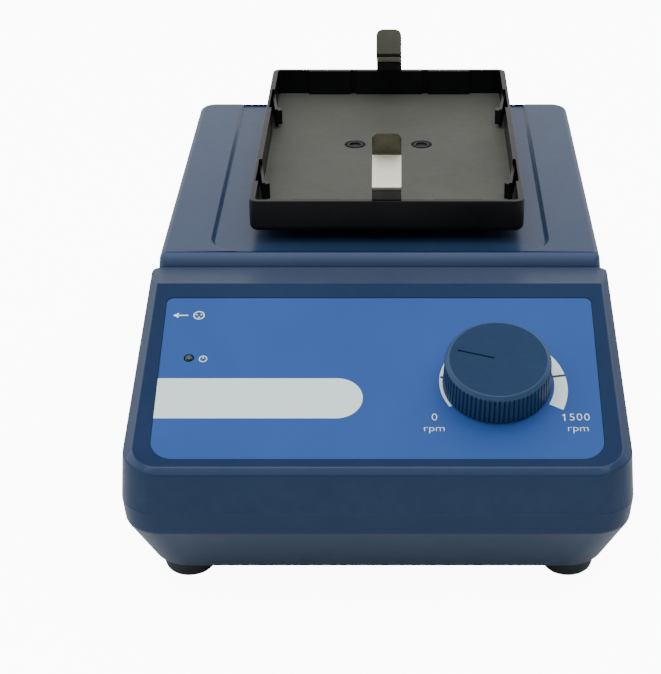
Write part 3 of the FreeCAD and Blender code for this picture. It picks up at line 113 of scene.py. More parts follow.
@dataclass(frozen=True)
class Plan:
    """A four-cornered outline with rounded corners, symmetric about X."""

    half: float
    front: float
    back: float
    front_corner: float
    back_corner: float
    taper: float = 0.0
    steps: int = 9

    def drawn(self, side: float, front: float, back: float) -> "Plan":
        """Return the outline with its sides, front and back drawn in, its corners kept."""
        return replace(self, half=self.half - side, front=self.front + front,
                       back=self.back - back)

    def inset(self, depth: float) -> "Plan":
        """Return the outline drawn in by a depth on every side, with tighter corners.

        Args:
            depth: how far each side moves inwards.

        Returns:
            The smaller outline.
        """
        return replace(self.drawn(depth, depth, depth),
                       front_corner=max(self.front_corner - depth, LEAST_CORNER),
                       back_corner=max(self.back_corner - depth, LEAST_CORNER))


class Form:
    """A shape in the making, in millimetres. What changes it returns the form itself."""

    def __init__(self) -> None:
        """Start empty."""
        self.bm = bmesh.new()

    @classmethod
    def from_node(cls, node: str) -> "Form":
        """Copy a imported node, its loose triangles merged into flat faces.

        Args:
            node: the node's name.

        Returns:
            The copy in millimetres.
        """
        form = cls()
        form.bm.from_mesh(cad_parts[node].data)
        return form.place(Matrix.Scale(1 / MM, 4)).merge(0.4)

    def merge(self, flat: float = 0.0) -> "Form":
        """Merge doubled vertices, and faces that meet at less than an angle in degrees.

        Args:
            flat: the angle, or 0 where the faces stay.

        Returns:
            The form itself.
        """
        bmesh.ops.remove_doubles(self.bm, verts=self.bm.verts, dist=NEAR)
        if flat:
            bmesh.ops.dissolve_limit(self.bm, angle_limit=radians(flat), verts=self.bm.verts,
                                     edges=self.bm.edges)
        return self

    def even(self) -> "Form":
        """Turn every face outwards."""
        bmesh.ops.recalc_face_normals(self.bm, faces=self.bm.faces)
        return self

    def bevel(self, geom: Sequence[object], width: float, segments: int,
              affect: str = "EDGES", clamp: bool = False) -> "Form":
        """Round edges or corners by a width.

        Args:
            geom: the edges, or the vertices of the corners.
            width: how far the rounding reaches.
            segments: how many steps it has.
            affect: EDGES or VERTICES.
            clamp: whether it stops where two roundings would overlap.

        Returns:
            The form itself.
        """
        bmesh.ops.bevel(self.bm, geom=geom, offset=width, offset_type="OFFSET",
                        segments=segments, profile=0.5, affect=affect, clamp_overlap=clamp,
                        material=-1)
        return self

    def ring(self, plan: Plan, z: float) -> list[BMEdge]:
        """Lay one closed outline at a level.

        Args:
            plan: the outline.
            z: its level.

        Returns:
            The outline's edges.
        """
        known = set(self.bm.verts)
        rear = plan.half - plan.taper
        corners = [self.bm.verts.new((x, y, z)) for x, y in (
            (-plan.half, plan.front), (plan.half, plan.front),
            (rear, plan.back), (-rear, plan.back))]
        self.bm.faces.new(corners)
        self.bevel(corners[:2], plan.front_corner, plan.steps, "VERTICES")
        self.bevel(corners[2:], plan.back_corner, plan.steps, "VERTICES")
        fresh = {vert for vert in self.bm.verts if vert not in known}
        faces = [face for face in self.bm.faces if fresh.issuperset(face.verts)]
        bmesh.ops.delete(self.bm, geom=faces, context="FACES_ONLY")
        return [edge for edge in self.bm.edges if fresh.issuperset(edge.verts)]

    def loft(self, *stages: tuple[Plan, float]) -> "Form":
        """Bridge outlines at their levels, from the lowest to the highest, and close the ends.

        Args:
            stages: the outlines with their levels.

        Returns:
            The form itself.
        """
        rings = [self.ring(plan, z) for plan, z in stages]
        for low, high in zip(rings, rings[1:]):
            bmesh.ops.bridge_loops(self.bm, edges=low + high)
        for end in (rings[0], rings[-1]):
            bmesh.ops.edgeloop_fill(self.bm, edges=end)
        return self.even()

    def sheet(self, plan: Plan, low: float, high: float) -> "Form":
        """Add a flat plate of one outline between two levels."""
        return self.loft((plan, low), (plan, high))

    def box(self, low: Sequence[float], high: Sequence[float]) -> "Form":
        """Add a block between its lowest and its highest corner.

        Args:
            low: the lowest corner.
            high: the highest corner.

        Returns:
            The form itself.
        """
        middle = (Vector(low) + Vector(high)) / 2
        size = Vector(high) - Vector(low)
        bmesh.ops.create_cube(self.bm, size=1.0,
                              matrix=Matrix.Translation(middle) @ Matrix.Diagonal(size).to_4x4())
        return self

    def rod(self, radius: float, low: float, high: float, x: float = 0.0, y: float = 0.0,
            sides: int = 48, top: float | None = None) -> "Form":
        """Add an upright cylinder, or a cone where it has another radius at the top.

        Args:
            radius: its radius at the bottom.
            low: its lowest level.
            high: its highest level.
            x: its axis in X.
            y: its axis in Y.
            sides: how many facets it has.
            top: its radius at the top, where that differs.

        Returns:
            The form itself.
        """
        bmesh.ops.create_cone(self.bm, cap_ends=True, segments=sides, radius1=radius,
                              radius2=radius if top is None else top, depth=high - low,
                              matrix=Matrix.Translation((x, y, (low + high) / 2)))
        return self

    def turned(self, profile: Sequence[Pair], sides: int = 64, closed: bool = True) -> "Form":
        """Spin a profile of radii and levels about the upright axis.

        Args:
            profile: the points in order.
            sides: how many steps the full turn has.
            closed: whether the last point joins the first.

        Returns:
            The form itself.
        """
        verts = [self.bm.verts.new((radius, 0.0, level)) for radius, level in profile]
        pairs = list(zip(verts, verts[1:])) + ([(verts[-1], verts[0])] if closed else [])
        edges = [self.bm.edges.new(pair) for pair in pairs]
        bmesh.ops.spin(self.bm, geom=verts + edges, cent=(0, 0, 0), axis=(0, 0, 1),
                       dvec=(0, 0, 0), angle=tau, steps=sides, use_merge=True,
                       use_duplicate=False)
        return self.merge().even()

    def strip(self, path: Sequence[Pair], width: float, bend: float,
              end_corner: float = 0.0) -> "Form":
        """Lay a bent sheet along a path in Y and Z, centred on X.

        Args:
            path: its points from the root to the tip.
            width: its width in X.
            bend: how far back from each corner the bend starts.
            end_corner: the radius of the two corners at the tip.

        Returns:
            The form itself.
        """
        verts = [self.bm.verts.new((-width / 2, y, z)) for y, z in path]
        edges = [self.bm.edges.new(pair) for pair in zip(verts, verts[1:])]
        grown = bmesh.ops.extrude_edge_only(self.bm, edges=edges)
        bmesh.ops.translate(self.bm, verts=only(BMVert, grown["geom"]), vec=(width, 0, 0))
        tip = [vert for vert in self.bm.verts
               if (Vector(vert.co[1:]) - Vector(path[-1])).length < NEAR]
        if end_corner:
            self.bevel(tip, end_corner, 6, "VERTICES")
        creases = [edge for edge in self.bm.edges
                   if not edge.is_boundary and len(edge.link_faces) == 2]
        return self.bevel(creases, bend, 5).even()

    def lettering(self, text: str, size: float, thickness: float) -> "Form":
        """Add raised characters of the font's size, centred on the origin.

        Args:
            text: the characters.
            size: their height in the font's own measure.
            thickness: how far they stand up.

        Returns:
            The form itself.
        """
        curve = bpy.data.curves.new("lettering", "FONT")
        curve.body, curve.size, curve.resolution_u = text, size, 6
        curve.align_x, curve.align_y, curve.extrude = "CENTER", "CENTER", thickness / 2
        curve.offset = -0.012 * size
        holder = bpy.data.objects.new("lettering", curve)
        mesh = bpy.data.meshes.new_from_object(holder)
        bpy.data.objects.remove(holder)
        return self.take(mesh).shift(0, 0, thickness / 2)

    def clip(self, point: Sequence[float], normal: Sequence[float]) -> "Form":
        """Cut away all that lies beyond a plane, along its normal, and close the cut.

        Args:
            point: a point on the plane.
            normal: the direction of what is cut away.

        Returns:
            The form itself.
        """
        geometry = list(self.bm.verts) + list(self.bm.edges) + list(self.bm.faces)
        cut = bmesh.ops.bisect_plane(self.bm, geom=geometry, dist=1e-5, plane_co=point,
                                     plane_no=normal, clear_outer=True)
        bmesh.ops.edgeloop_fill(self.bm, edges=only(BMEdge, cut["geom_cut"]))
        return self.even()

    def place(self, matrix: Matrix) -> "Form":
        """Move the whole form by a matrix."""
        bmesh.ops.transform(self.bm, matrix=matrix, verts=self.bm.verts)
        return self

    def shift(self, x: float, y: float, z: float) -> "Form":
        """Move the whole form by a distance along each axis."""
        return self.place(Matrix.Translation((x, y, z)))

    def take(self, mesh: Mesh) -> "Form":
        """Take in a mesh's faces and remove the mesh.

        Args:
            mesh: the mesh.

        Returns:
            The form itself.
        """
        self.bm.from_mesh(mesh)
        bpy.data.meshes.remove(mesh)
        return self

    def add(self, other: "Form") -> "Form":
        """Take in another form's faces as they are."""
        return self.take(other.to_mesh("part"))

    def join(self, how: Join, *others: "Form") -> "Form":
        """Cut with, add or keep what is common with other solid forms, in order.

        Args:
            how: the kind of joining.
            others: the forms to join. Overlapping cutters need forms of their own.

        Returns:
            The form itself.
        """
        target = show("target", self.to_mesh("target"))
        items = [target]
        for other in others:
            items.append(show("tool", other.to_mesh("tool")))
            step = target.modifiers.new("join", "BOOLEAN")
            step.object, step.operation, step.solver = items[-1], how.value, "EXACT"
        graph = bpy.context.evaluated_depsgraph_get()
        mesh = bpy.data.meshes.new_from_object(target.evaluated_get(graph))
        self.bm.clear()
        self.take(mesh)
        for item in items:
            data = item.data
            bpy.data.objects.remove(item)
            bpy.data.meshes.remove(data)
        return self.merge(0.2)

    def soften(self, width: float, angle: float = 20.0, segments: int = 2,
               where: Callable[[BMEdge], bool] = lambda edge: True) -> "Form":
        """Round the edges that a test allows and whose faces meet at more than an angle.

        Args:
            width: how far the rounding reaches on each face.
            angle: the least angle between the faces, in degrees.
            segments: how many steps the rounding has.
            where: which edges may be rounded.

        Returns:
            The form itself.
        """
        edges = [edge for edge in self.bm.edges if len(edge.link_faces) == 2
                 and edge.calc_face_angle(0.0) > radians(angle) and where(edge)]
        return self.bevel(edges, width, segments, clamp=True)

    def to_mesh(self, name: str, scale: float = 1.0) -> Mesh:
        """Write the form, smooth and scaled, into a new mesh.

        Args:
            name: the mesh's name.
            scale: what the coordinates are multiplied by.

        Returns:
            The mesh.
        """
        mesh = bpy.data.meshes.new(name)
        copy = self.bm.copy()
        bmesh.ops.scale(copy, vec=(scale, scale, scale), verts=copy.verts)
        for face in copy.faces:
            face.smooth = True
        copy.to_mesh(mesh)
        copy.free()
        return mesh


# ---------------------------------------------------------------------------
# Finishes
# ---------------------------------------------------------------------------


class Tree:
    """Short ways to place and link shader nodes."""

    def __init__(self, tree: NodeTree) -> None:
        """Work on one node tree."""
        self.tree = tree

    def node(self, kind: str, inputs: dict[str | int, object] | None = None,
             **settings: object) -> Node:
        """Place a node, set its own properties, and link or set its inputs.

        Args:
            kind: the node's type.
            inputs: a value or an output socket for each named or numbered input.
            settings: the node's own properties.

        Returns:
            The node.
        """
        made = self.tree.nodes.new(kind)
        for key, setting in settings.items():
            setattr(made, key, setting)
        self.fill(made, inputs or {})
        return made

    def fill(self, node: Node, inputs: dict[str | int, object]) -> None:
        """Link the inputs that get a socket and set those that get a value.

        Args:
            node: the node.
            inputs: a socket or a value for each input.
        """
        for key, content in inputs.items():
            if isinstance(content, NodeSocket):
                self.tree.links.new(content, node.inputs[key])
            else:
                node.inputs[key].default_value = content

    def noise(self, where: NodeSocket, scale: object, **more: float) -> NodeSocket:
        """Return the value of a noise texture."""
        return self.node("ShaderNodeTexNoise",
                         {"Vector": where, "Scale": scale, **more}).outputs["Fac"]

    def wave(self, where: NodeSocket, inputs: dict[str, float], **settings: str) -> NodeSocket:
        """Return the value of a wave texture."""
        return self.node("ShaderNodeTexWave", {"Vector": where, **inputs},
                         **settings).outputs["Fac"]

    def span(self, value: NodeSocket, low: object, high: object, bottom: float = 0.0,
             top: float = 1.0) -> NodeSocket:
        """Return a value brought from one span to another.

        Args:
            value: the value.
            low: where the first span starts.
            high: where it ends.
            bottom: where the second span starts.
            top: where it ends.

        Returns:
            The new value.
        """
        return self.node("ShaderNodeMapRange", {
            "Value": value, "From Min": low, "From Max": high, "To Min": bottom,
            "To Max": top}).outputs[0]

    def add(self, first: NodeSocket, second: object, **settings: bool) -> NodeSocket:
        """Return the sum of two values."""
        return self.node("ShaderNodeMath", {0: first, 1: second}, operation="ADD",
                         **settings).outputs[0]

    def times(self, first: NodeSocket, second: object) -> NodeSocket:
        """Return the product of two values."""
        return self.node("ShaderNodeMath", {0: first, 1: second},
                         operation="MULTIPLY").outputs[0]

    def mix(self, mask: NodeSocket, first: object, second: object) -> NodeSocket:
        """Return the first colour where the mask is 0 and the second where it is 1."""
        return self.node("ShaderNodeMix", {0: mask, 6: first, 7: second},
                         data_type="RGBA").outputs[2]

    def effect(self, group: NodeTree, spot: NodeSocket, **values: float) -> Node:
        """Place a shared group that reads the coordinates, with values by input name."""
        return self.node("ShaderNodeGroup", {"Vector": spot, **values}, node_tree=group)


@dataclass
class Effects:
    """The shared node groups, each with a Vector input and number sockets."""

    groups: dict[str, NodeTree] = field(default_factory=dict)

    def start(self, name: str, outputs: Iterable[str],
              **inputs: float) -> tuple[Tree, object, Node]:
        """Start a group.

        Args:
            name: the group's name.
            outputs: the number outputs.
            inputs: the number inputs with their usual values.

        Returns:
            The group's tree helper, the sockets that it is given and its output node.
        """
        group = bpy.data.node_groups.new(name, "ShaderNodeTree")
        group.interface.new_socket("Vector", in_out="INPUT", socket_type="NodeSocketVector")
        for label, usual in inputs.items():
            socket = group.interface.new_socket(label, in_out="INPUT",
                                                socket_type="NodeSocketFloat")
            socket.default_value = usual
        for label in outputs:
            group.interface.new_socket(label, in_out="OUTPUT", socket_type="NodeSocketFloat")
        self.groups[name] = group
        tree = Tree(group)
        return tree, tree.node("NodeGroupInput").outputs, tree.node("NodeGroupOutput")

    def grain(self) -> None:
        """Build the fine moulded grain: a height and a faint speckle mask."""
        tree, given, result = self.start("fine_grain", ("Height", "Speckle"), Scale=2500.0)
        fine = tree.noise(given["Vector"], given["Scale"], Detail=3.0, Roughness=0.6)
        cells = tree.node("ShaderNodeTexVoronoi", {"Vector": given["Vector"],
                                                   "Scale": given["Scale"]})
        tree.fill(result, {"Height": tree.add(fine, cells.outputs["Distance"]),
                           "Speckle": tree.span(fine, 0.58, 0.75)})

    def handling(self) -> None:
        """Build the broad smears and gloss changes that handling leaves."""
        tree, given, result = self.start("handling", ("Smear", "Fine"), Scale=40.0)
        broad = tree.noise(given["Vector"], given["Scale"], Detail=5.0, Distortion=0.8)
        small = tree.noise(given["Vector"], tree.times(given["Scale"], 9.0), Detail=4.0)
        tree.fill(result, {"Smear": tree.span(broad, 0.35, 0.68), "Fine": small})

    def wear(self) -> None:
        """Build the mask of rubbed outer edges, broken up by noise."""
        tree, given, result = self.start("edge_wear", ("Edge",), Start=0.52, End=0.60)
        shape = tree.node("ShaderNodeNewGeometry")
        ridge = tree.span(shape.outputs["Pointiness"], given["Start"], given["End"])
        breaks = tree.span(tree.noise(given["Vector"], 260.0, Detail=4.0), 0.35, 0.6)
        tree.fill(result, {"Edge": tree.times(ridge, breaks)})

    def dust(self) -> None:
        """Build the mask of fine dust on faces that look up."""
        tree, given, result = self.start("dust", ("Dust",), Scale=600.0)
        shape = tree.node("ShaderNodeNewGeometry")
        parts = tree.node("ShaderNodeSeparateXYZ", {0: shape.outputs["Normal"]})
        motes = tree.noise(given["Vector"], given["Scale"], Detail=6.0, Roughness=0.7)
        tree.fill(result, {"Dust": tree.times(tree.span(parts.outputs["Z"], 0.6, 1.0),
                                              tree.span(motes, 0.45, 0.8))})

    def build(self) -> dict[str, NodeTree]:
        """Build all groups and return them by name.

        Returns:
            The groups by name.
        """
        for make in (self.grain, self.handling, self.wear, self.dust):
            make()
        return self.groups


@dataclass(frozen=True)
class Finish:
    """One surface finish: colours, gloss and the fine texture of the real material, or a lighter
    or darker copy of one that paints light or shade.
    """

    name: str
    slot: str
    colour: Triple
    roughness: float
    texture: Texture = Texture.MOULDED
    metallic: float = 0.0
    coat: float = 0.0
    specular: float = 0.5
    tint: float = 0.10
    gloss_change: float = 0.05
    grain: float = 2500.0
    relief: float = 0.01
    wear: float = 0.10
    dust: float = 0.06
    turn: Triple = (0.0, 0.0, 0.0)

    def shade(self, factor: float, lift: float = 0.0) -> tuple[float, ...]:
        """Return the colour times a factor and raised by a lift, 1 at most."""
        return tuple(min(part * factor + lift, 1.0) for part in self.colour) + (1.0,)

    def make(self, groups: dict[str, NodeTree]) -> Material:
        """Build the material.

        Args:
            groups: the shared effect groups by name.

        Returns:
            The material.
        """
        material = bpy.data.materials.new(self.name)
        material.use_nodes = True
        tree = Tree(material.node_tree)
        spot = tree.node("ShaderNodeTexCoord").outputs["Object"]
        where = tree.node("ShaderNodeMapping", {"Vector": spot, "Rotation": self.turn})
        height, pattern = self.structure(tree, groups, where.outputs[0])
        handled = tree.effect(groups["handling"], spot, Scale=34.0).outputs
        worn = tree.effect(groups["edge_wear"], spot).outputs["Edge"]
        dusty = tree.times(tree.effect(groups["dust"], spot).outputs["Dust"], self.dust)
        darker = self.shade(1 - self.tint)
        base = tree.mix(handled["Smear"], darker, self.shade(1 + self.tint, 0.002))
        base = tree.mix(tree.times(pattern, self.tint), base, darker)
        base = tree.mix(tree.times(worn, self.wear), base, self.shade(1.9, 0.05))
        base = tree.mix(dusty, base, (0.45, 0.44, 0.42, 1.0))
        sheen = tree.span(handled["Fine"], 0.3, 0.7, self.roughness - self.gloss_change,
                          self.roughness + self.gloss_change)
        bump = tree.node("ShaderNodeBump", {"Height": height, "Strength": 0.35,
                                            "Distance": self.relief * MM})
        tree.fill(material.node_tree.nodes["Principled BSDF"], {
            "Base Color": base, "Roughness": tree.add(sheen, dusty, use_clamp=True),
            "Normal": bump.outputs[0], "Metallic": self.metallic, "Coat Weight": self.coat,
            "Coat Roughness": 0.12, "Specular IOR Level": self.specular})
        material.diffuse_color = self.colour + (1.0,)
        return material

    def structure(self, tree: Tree, groups: dict[str, NodeTree],
                  where: NodeSocket) -> tuple[NodeSocket, NodeSocket]:
        """Build the fine relief and the colour pattern of the finish.

        Args:
            tree: the material's tree.
            groups: the shared effect groups by name.
            where: the coordinates of the pattern.

        Returns:
            The height and the pattern, both as sockets.
        """
        if self.texture is Texture.BRUSHED:
            drawn = tree.node("ShaderNodeMapping", {"Vector": where, "Scale": (1.0, 60.0, 60.0)})
            return (tree.noise(drawn.outputs[0], 60.0, Detail=4.0),) * 2
        if self.texture is Texture.TURNED:
            return (tree.wave(where, {"Scale": 900.0, "Distortion": 1.5, "Detail": 2.0},
                              wave_type="RINGS", rings_direction="Z"),) * 2
        if self.texture is Texture.LAYERED:
            return (tree.wave(where, {"Scale": 320.0, "Distortion": 0.3},
                              bands_direction="Z"),) * 2
        fine = tree.effect(groups["fine_grain"], where, Scale=self.grain).outputs
        return fine["Height"], fine["Speckle"]


PAINT = {"grain": 1800.0, "relief": 0.008, "tint": 0.03, "gloss_change": 0.02, "dust": 0.02}
FLUTED = {"grain": 2600.0, "relief": 0.006, "tint": 0.04, "gloss_change": 0.02, "wear": 0.05,
          "dust": 0.02}
PRINT = {"texture": Texture.PRINTED, "wear": 0.0}
DRAWN = {"texture": Texture.BRUSHED, "turn": (0.0, 0.0, QUARTER_TURN)}
FINISHES = (
    Finish("cover_paint", "housing_blue", (0.0148, 0.0385, 0.095), 0.30, specular=0.16, **PAINT),
    # Lighter copy of the cover paint for the strip's upward faces: a painted sheen standing in
    # for the bright room they reflect.
    Finish("strip_painted_sheen", "housing_blue", (0.0400, 0.0600, 0.108), 0.40, specular=0.18, **PAINT),
    # Much lighter copy of the cover paint for the step's forward faces: a painted highlight.
    Finish("step_painted_highlight", "housing_blue", (0.0480, 0.0800, 0.165), 0.36, specular=0.18, **PAINT),
    # Lighter, glossier copy of the cover paint for the chamfer round the panel: a painted
    # highlight.
    Finish("chamfer_painted_highlight", "housing_blue", (0.0190, 0.0460, 0.114), 0.24, specular=0.42,
           grain=1800.0, relief=0.004, tint=0.02, gloss_change=0.01, wear=0.0, dust=0.0),
    # Darker copy of the cover paint for the frame face round the label: painted shade.
    Finish("frame_painted_shade", "housing_blue", (0.0085, 0.0280, 0.085), 0.30, specular=0.10,
           **{**PAINT, "dust": 0.01}),
    # The tub's paint in two copies picked by face direction: the upright band darker (painted
    # shade), the rest greyer (painted floor reflection).
    Finish("band_painted_shade", "housing_dark", (0.0160, 0.0400, 0.096), 0.30, specular=0.16, **PAINT),
    Finish("shell_painted_light", "housing_dark", (0.0190, 0.0460, 0.094), 0.33, specular=0.30, **PAINT),
    Finish("label_film", "label_blue", (0.0290, 0.0930, 0.345), 0.42, specular=0.15,
           grain=5200.0, relief=0.004, tint=0.02, gloss_change=0.02, dust=0.01, **PRINT),
    Finish("pale_ink", "label_blue", (0.84, 0.99, 1.00), 0.45, tint=0.01, grain=5200.0,
           relief=0.003, dust=0.0, **PRINT),
    Finish("dark_ink", "label_blue", (0.015, 0.025, 0.04), 0.45, **PRINT),
    Finish("foot_rubber", "black_rubber", (0.003, 0.010, 0.018), 0.46, grain=1400.0,
           relief=0.03, tint=0.15),
    Finish("zinc_plate", "zinc_steel", (0.55, 0.56, 0.57), 0.32, Texture.BRUSHED,
           metallic=1.0, relief=0.004, dust=0.02),
    Finish("blackened_screw", "black_screw", (0.003, 0.003, 0.003), 0.40, Texture.BRUSHED,
           specular=0.12, relief=0.004, dust=0.0),
    # The clip steel in three copies picked by face direction: dark overall (painted dark
    # reflection), a near-white painted glint on the lean, a darker painted shade on the upright
    # faces.
    Finish("steel_painted_dark_reflection", "stainless", (0.070, 0.070, 0.054), 0.30, metallic=1.0,
           relief=0.005, tint=0.08, dust=0.02, **DRAWN),
    Finish("steel_painted_glint", "stainless", (1.0, 0.98, 0.80), 0.46, metallic=0.35, relief=0.02,
           tint=0.03, dust=0.0, **DRAWN),
    Finish("steel_painted_shade", "stainless", (0.036, 0.036, 0.031), 0.40, metallic=0.6,
           relief=0.005, tint=0.08, **DRAWN),
    Finish("lamp_lens", "led_lens", (0.006, 0.035, 0.024), 0.16, coat=0.4, tint=0.2, wear=0.0),
    Finish("cast_metal", "cast_aluminium", (0.50, 0.51, 0.52), 0.42, metallic=1.0,
           grain=1200.0, relief=0.02),
    Finish("turned_bronze", "bearing_bronze", (0.50, 0.36, 0.17), 0.30, Texture.TURNED,
           metallic=1.0, relief=0.004),
    Finish("moulded_black", "black_plastic", (0.008, 0.008, 0.009), 0.44, grain=1600.0,
           relief=0.02, wear=0.15),
    Finish("tray_moulding", "tray_black", (0.0028, 0.0034, 0.0042), 0.34, specular=0.16,
           grain=1500.0, relief=0.006, gloss_change=0.02, wear=0.03, dust=0.005),
    # Grey, rougher copy of the tray plastic for the floor's upward faces: the grey is a painted
    # sheen standing in for the room they reflect.
    Finish("tray_floor_painted_sheen", "tray_black", (0.080, 0.081, 0.071), 0.62, specular=0.15,
           grain=1500.0, relief=0.012, tint=0.05, gloss_change=0.03, wear=0.02, dust=0.02),
    Finish("board_mask", "board_green", (0.03, 0.16, 0.07), 0.30, coat=0.3, grain=900.0),
    Finish("laminated_iron", "iron_core", (0.14, 0.14, 0.15), 0.48, Texture.LAYERED,
           metallic=0.7, relief=0.05),
    Finish("coil_wrap", "coil_tape", (0.55, 0.42, 0.09), 0.36, Texture.LAYERED, relief=0.02),
    # Lighter copies of the knob plastic: a painted highlight on the rim chamfer and painted light
    # on the fluted side.
    Finish("knob_rim_painted_highlight", "knob_blue", (0.0230, 0.0610, 0.140), 0.38, specular=0.30, **FLUTED),
    Finish("knob_side_painted_light", "knob_blue", (0.0160, 0.0480, 0.120), 0.40, specular=0.26, **FLUTED),
    Finish("knob_moulding", "knob_blue", (0.0085, 0.034, 0.095), 0.46, specular=0.13,
           **{**FLUTED, "relief": 0.010}),
)


class Store:
    """Keeps the shared effect groups and makes each finish once."""

    def __init__(self) -> None:
        """Build the groups and list the finishes."""
        self.groups = Effects().build()
        self.finishes = {finish.name: finish for finish in FINISHES}
        self.made: dict[str, Material] = {}

    def material(self, name: str) -> Material:
        """Return the material of a finish, made when first asked for.

        Args:
            name: the finish's name.

        Returns:
            The material.
        """
        if name not in self.made:
            self.made[name] = self.finishes[name].make(self.groups)
        return self.made[name]

    def slot(self, name: str) -> str:
        """Return the slot of a finish."""
        return self.finishes[name].slot


# ---------------------------------------------------------------------------
# Sub-assemblies
# ---------------------------------------------------------------------------


@dataclass(frozen=True)
class Layout:
    """Levels and places that several sub-assemblies share."""

    front: float = -117.96
    back: float = 116.04
    deck_front: float = -33.56
    half: float = 77.0
    corner: float = 12.0
    back_corner: float = 9.0
    foot: float = 5.5
    seam: float = 33.1
    strip: float = 74.5
    deck: float = 78.5
    wall: float = 2.5
    boss: float = 4.5
    panel_y: float = -46.26
    panel_tilt: float = 20.5
    knob: Pair = (36.2, 42.2)
    lamp: Pair = (-58.4, 31.9)
    rear_lean: float = 3.9
    rear_up: float = 22.0
    tray_x: float = 2.25
    tray_y: float = 45.09
    tray_z: float = 81.5
    drive_y: float = 55.09

    @property
    def square(self) -> Vector:
        """Return the direction square to the panel."""
        return Vector((0, -sin(radians(self.panel_tilt)), cos(radians(self.panel_tilt))))

    def panel(self, x: float = 0.0, down: float = 0.0, up: float = 0.0) -> Matrix:
        """Return the matrix that puts a form on the sloping panel, square to it.

        Args:
            x: its place across the panel.
            down: its distance down the slope from the panel's top edge.
            up: its height off the panel.

        Returns:
            The matrix.
        """
        return (Matrix.Translation((0, self.panel_y, self.strip))
                @ rotation(self.panel_tilt, "X") @ Matrix.Translation((x, -down, up)))

    def rear(self, x: float) -> Matrix:
        """Return the matrix that puts a form on the leaning rear wall, at the fittings' level.

        Args:
            x: its place across the wall.

        Returns:
            The matrix, square to the wall.
        """
        turn = Matrix.Rotation(atan2(self.rear_lean, self.deck - self.seam), 4, "X")
        return (Matrix.Translation((0, self.back, self.seam)) @ turn
                @ Matrix.Translation((x, 0.0, self.rear_up)))

    def four(self, x: float, from_end: float) -> list[Pair]:
        """Return four places: the front pair, then the rear pair, each from left to right."""
        return [(side * x, y) for y in (self.front + from_end, self.back - from_end)
                for side in SIDES]

    def screw_places(self) -> list[Pair]:
        """Return the four places of the screws that hold the covers."""
        return self.four(61.0, 52.0)

    def foot_places(self) -> list[Pair]:
        """Return the four places of the feet."""
        return self.four(59.0, 23.0)


@dataclass
class SubAssembly:
    """Common work of the sub-assemblies: storing, dressing and reporting pieces."""

    layout: Layout
    store: Store
    pieces: list[Object] = field(default_factory=list)

    def piece(self, form: Form, name: str, finish: str, body: str, stands_for: Sequence[str] = (),
              bevel: float = 0.0, sharp: float = 32.0, wall: float = 0.0,
              zones: Sequence[tuple[str, Zone]] = ()) -> None:
        """Store a form as a finished piece.

        Args:
            form: the shape in millimetres.
            name: the piece's name.
            finish: the name of its finish.
            body: the CAD body that it rides on.
            stands_for: the CAD nodes that it replaces.
            bevel: the width of the rounding on its sharp edges, none at 0.
            sharp: the angle above which an edge is sharp, in degrees.
            wall: the thickness that a sheet gets, none at 0.
            zones: further finishes, each with the test that picks its faces by their middle
                in millimetres and their normal.
        """
        mesh = form.to_mesh(name, MM)
        mesh.set_sharp_from_angle(angle=radians(sharp))
        mesh.materials.append(self.store.material(finish))
        for place, (other, inside) in enumerate(zones, start=1):
            mesh.materials.append(self.store.material(other))
            for face in mesh.polygons:
                if inside(face.center / MM, face.normal):
                    face.material_index = place
        made = show(name, mesh)
        if wall:
            solid = made.modifiers.new("wall", "SOLIDIFY")
            solid.thickness, solid.offset = wall * MM, 0.0
        if bevel:
            edge = made.modifiers.new("edge", "BEVEL")
            edge.width, edge.segments, edge.limit_method = bevel * MM, 2, "ANGLE"
            edge.angle_limit, edge.profile = radians(sharp), 0.5
        made.modifiers.new("even", "WEIGHTED_NORMAL").keep_sharp = True
        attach(made, body)
        if stands_for:
            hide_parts(*stands_for)
        self.store.slot(finish)
        self.pieces.append(made)
        log.info("%s: %d faces on %s", name, len(mesh.polygons), body)

    def dress(self, finish: str, *nodes: str) -> None:
        """Give CAD nodes that stay as they are a finish.

        Args:
            finish: the name of the finish.
            nodes: the nodes' names.
        """
        for node in nodes:
            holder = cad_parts[node]
            if not holder.material_slots:
                holder.data.materials.append(self.store.material(finish))
            for place in holder.material_slots:
                place.material = self.store.material(finish)
            log.info("%s: dressed in %s", node, finish)

    def build(self) -> None:
        """Make every piece of the sub-assembly."""
        raise NotImplementedError


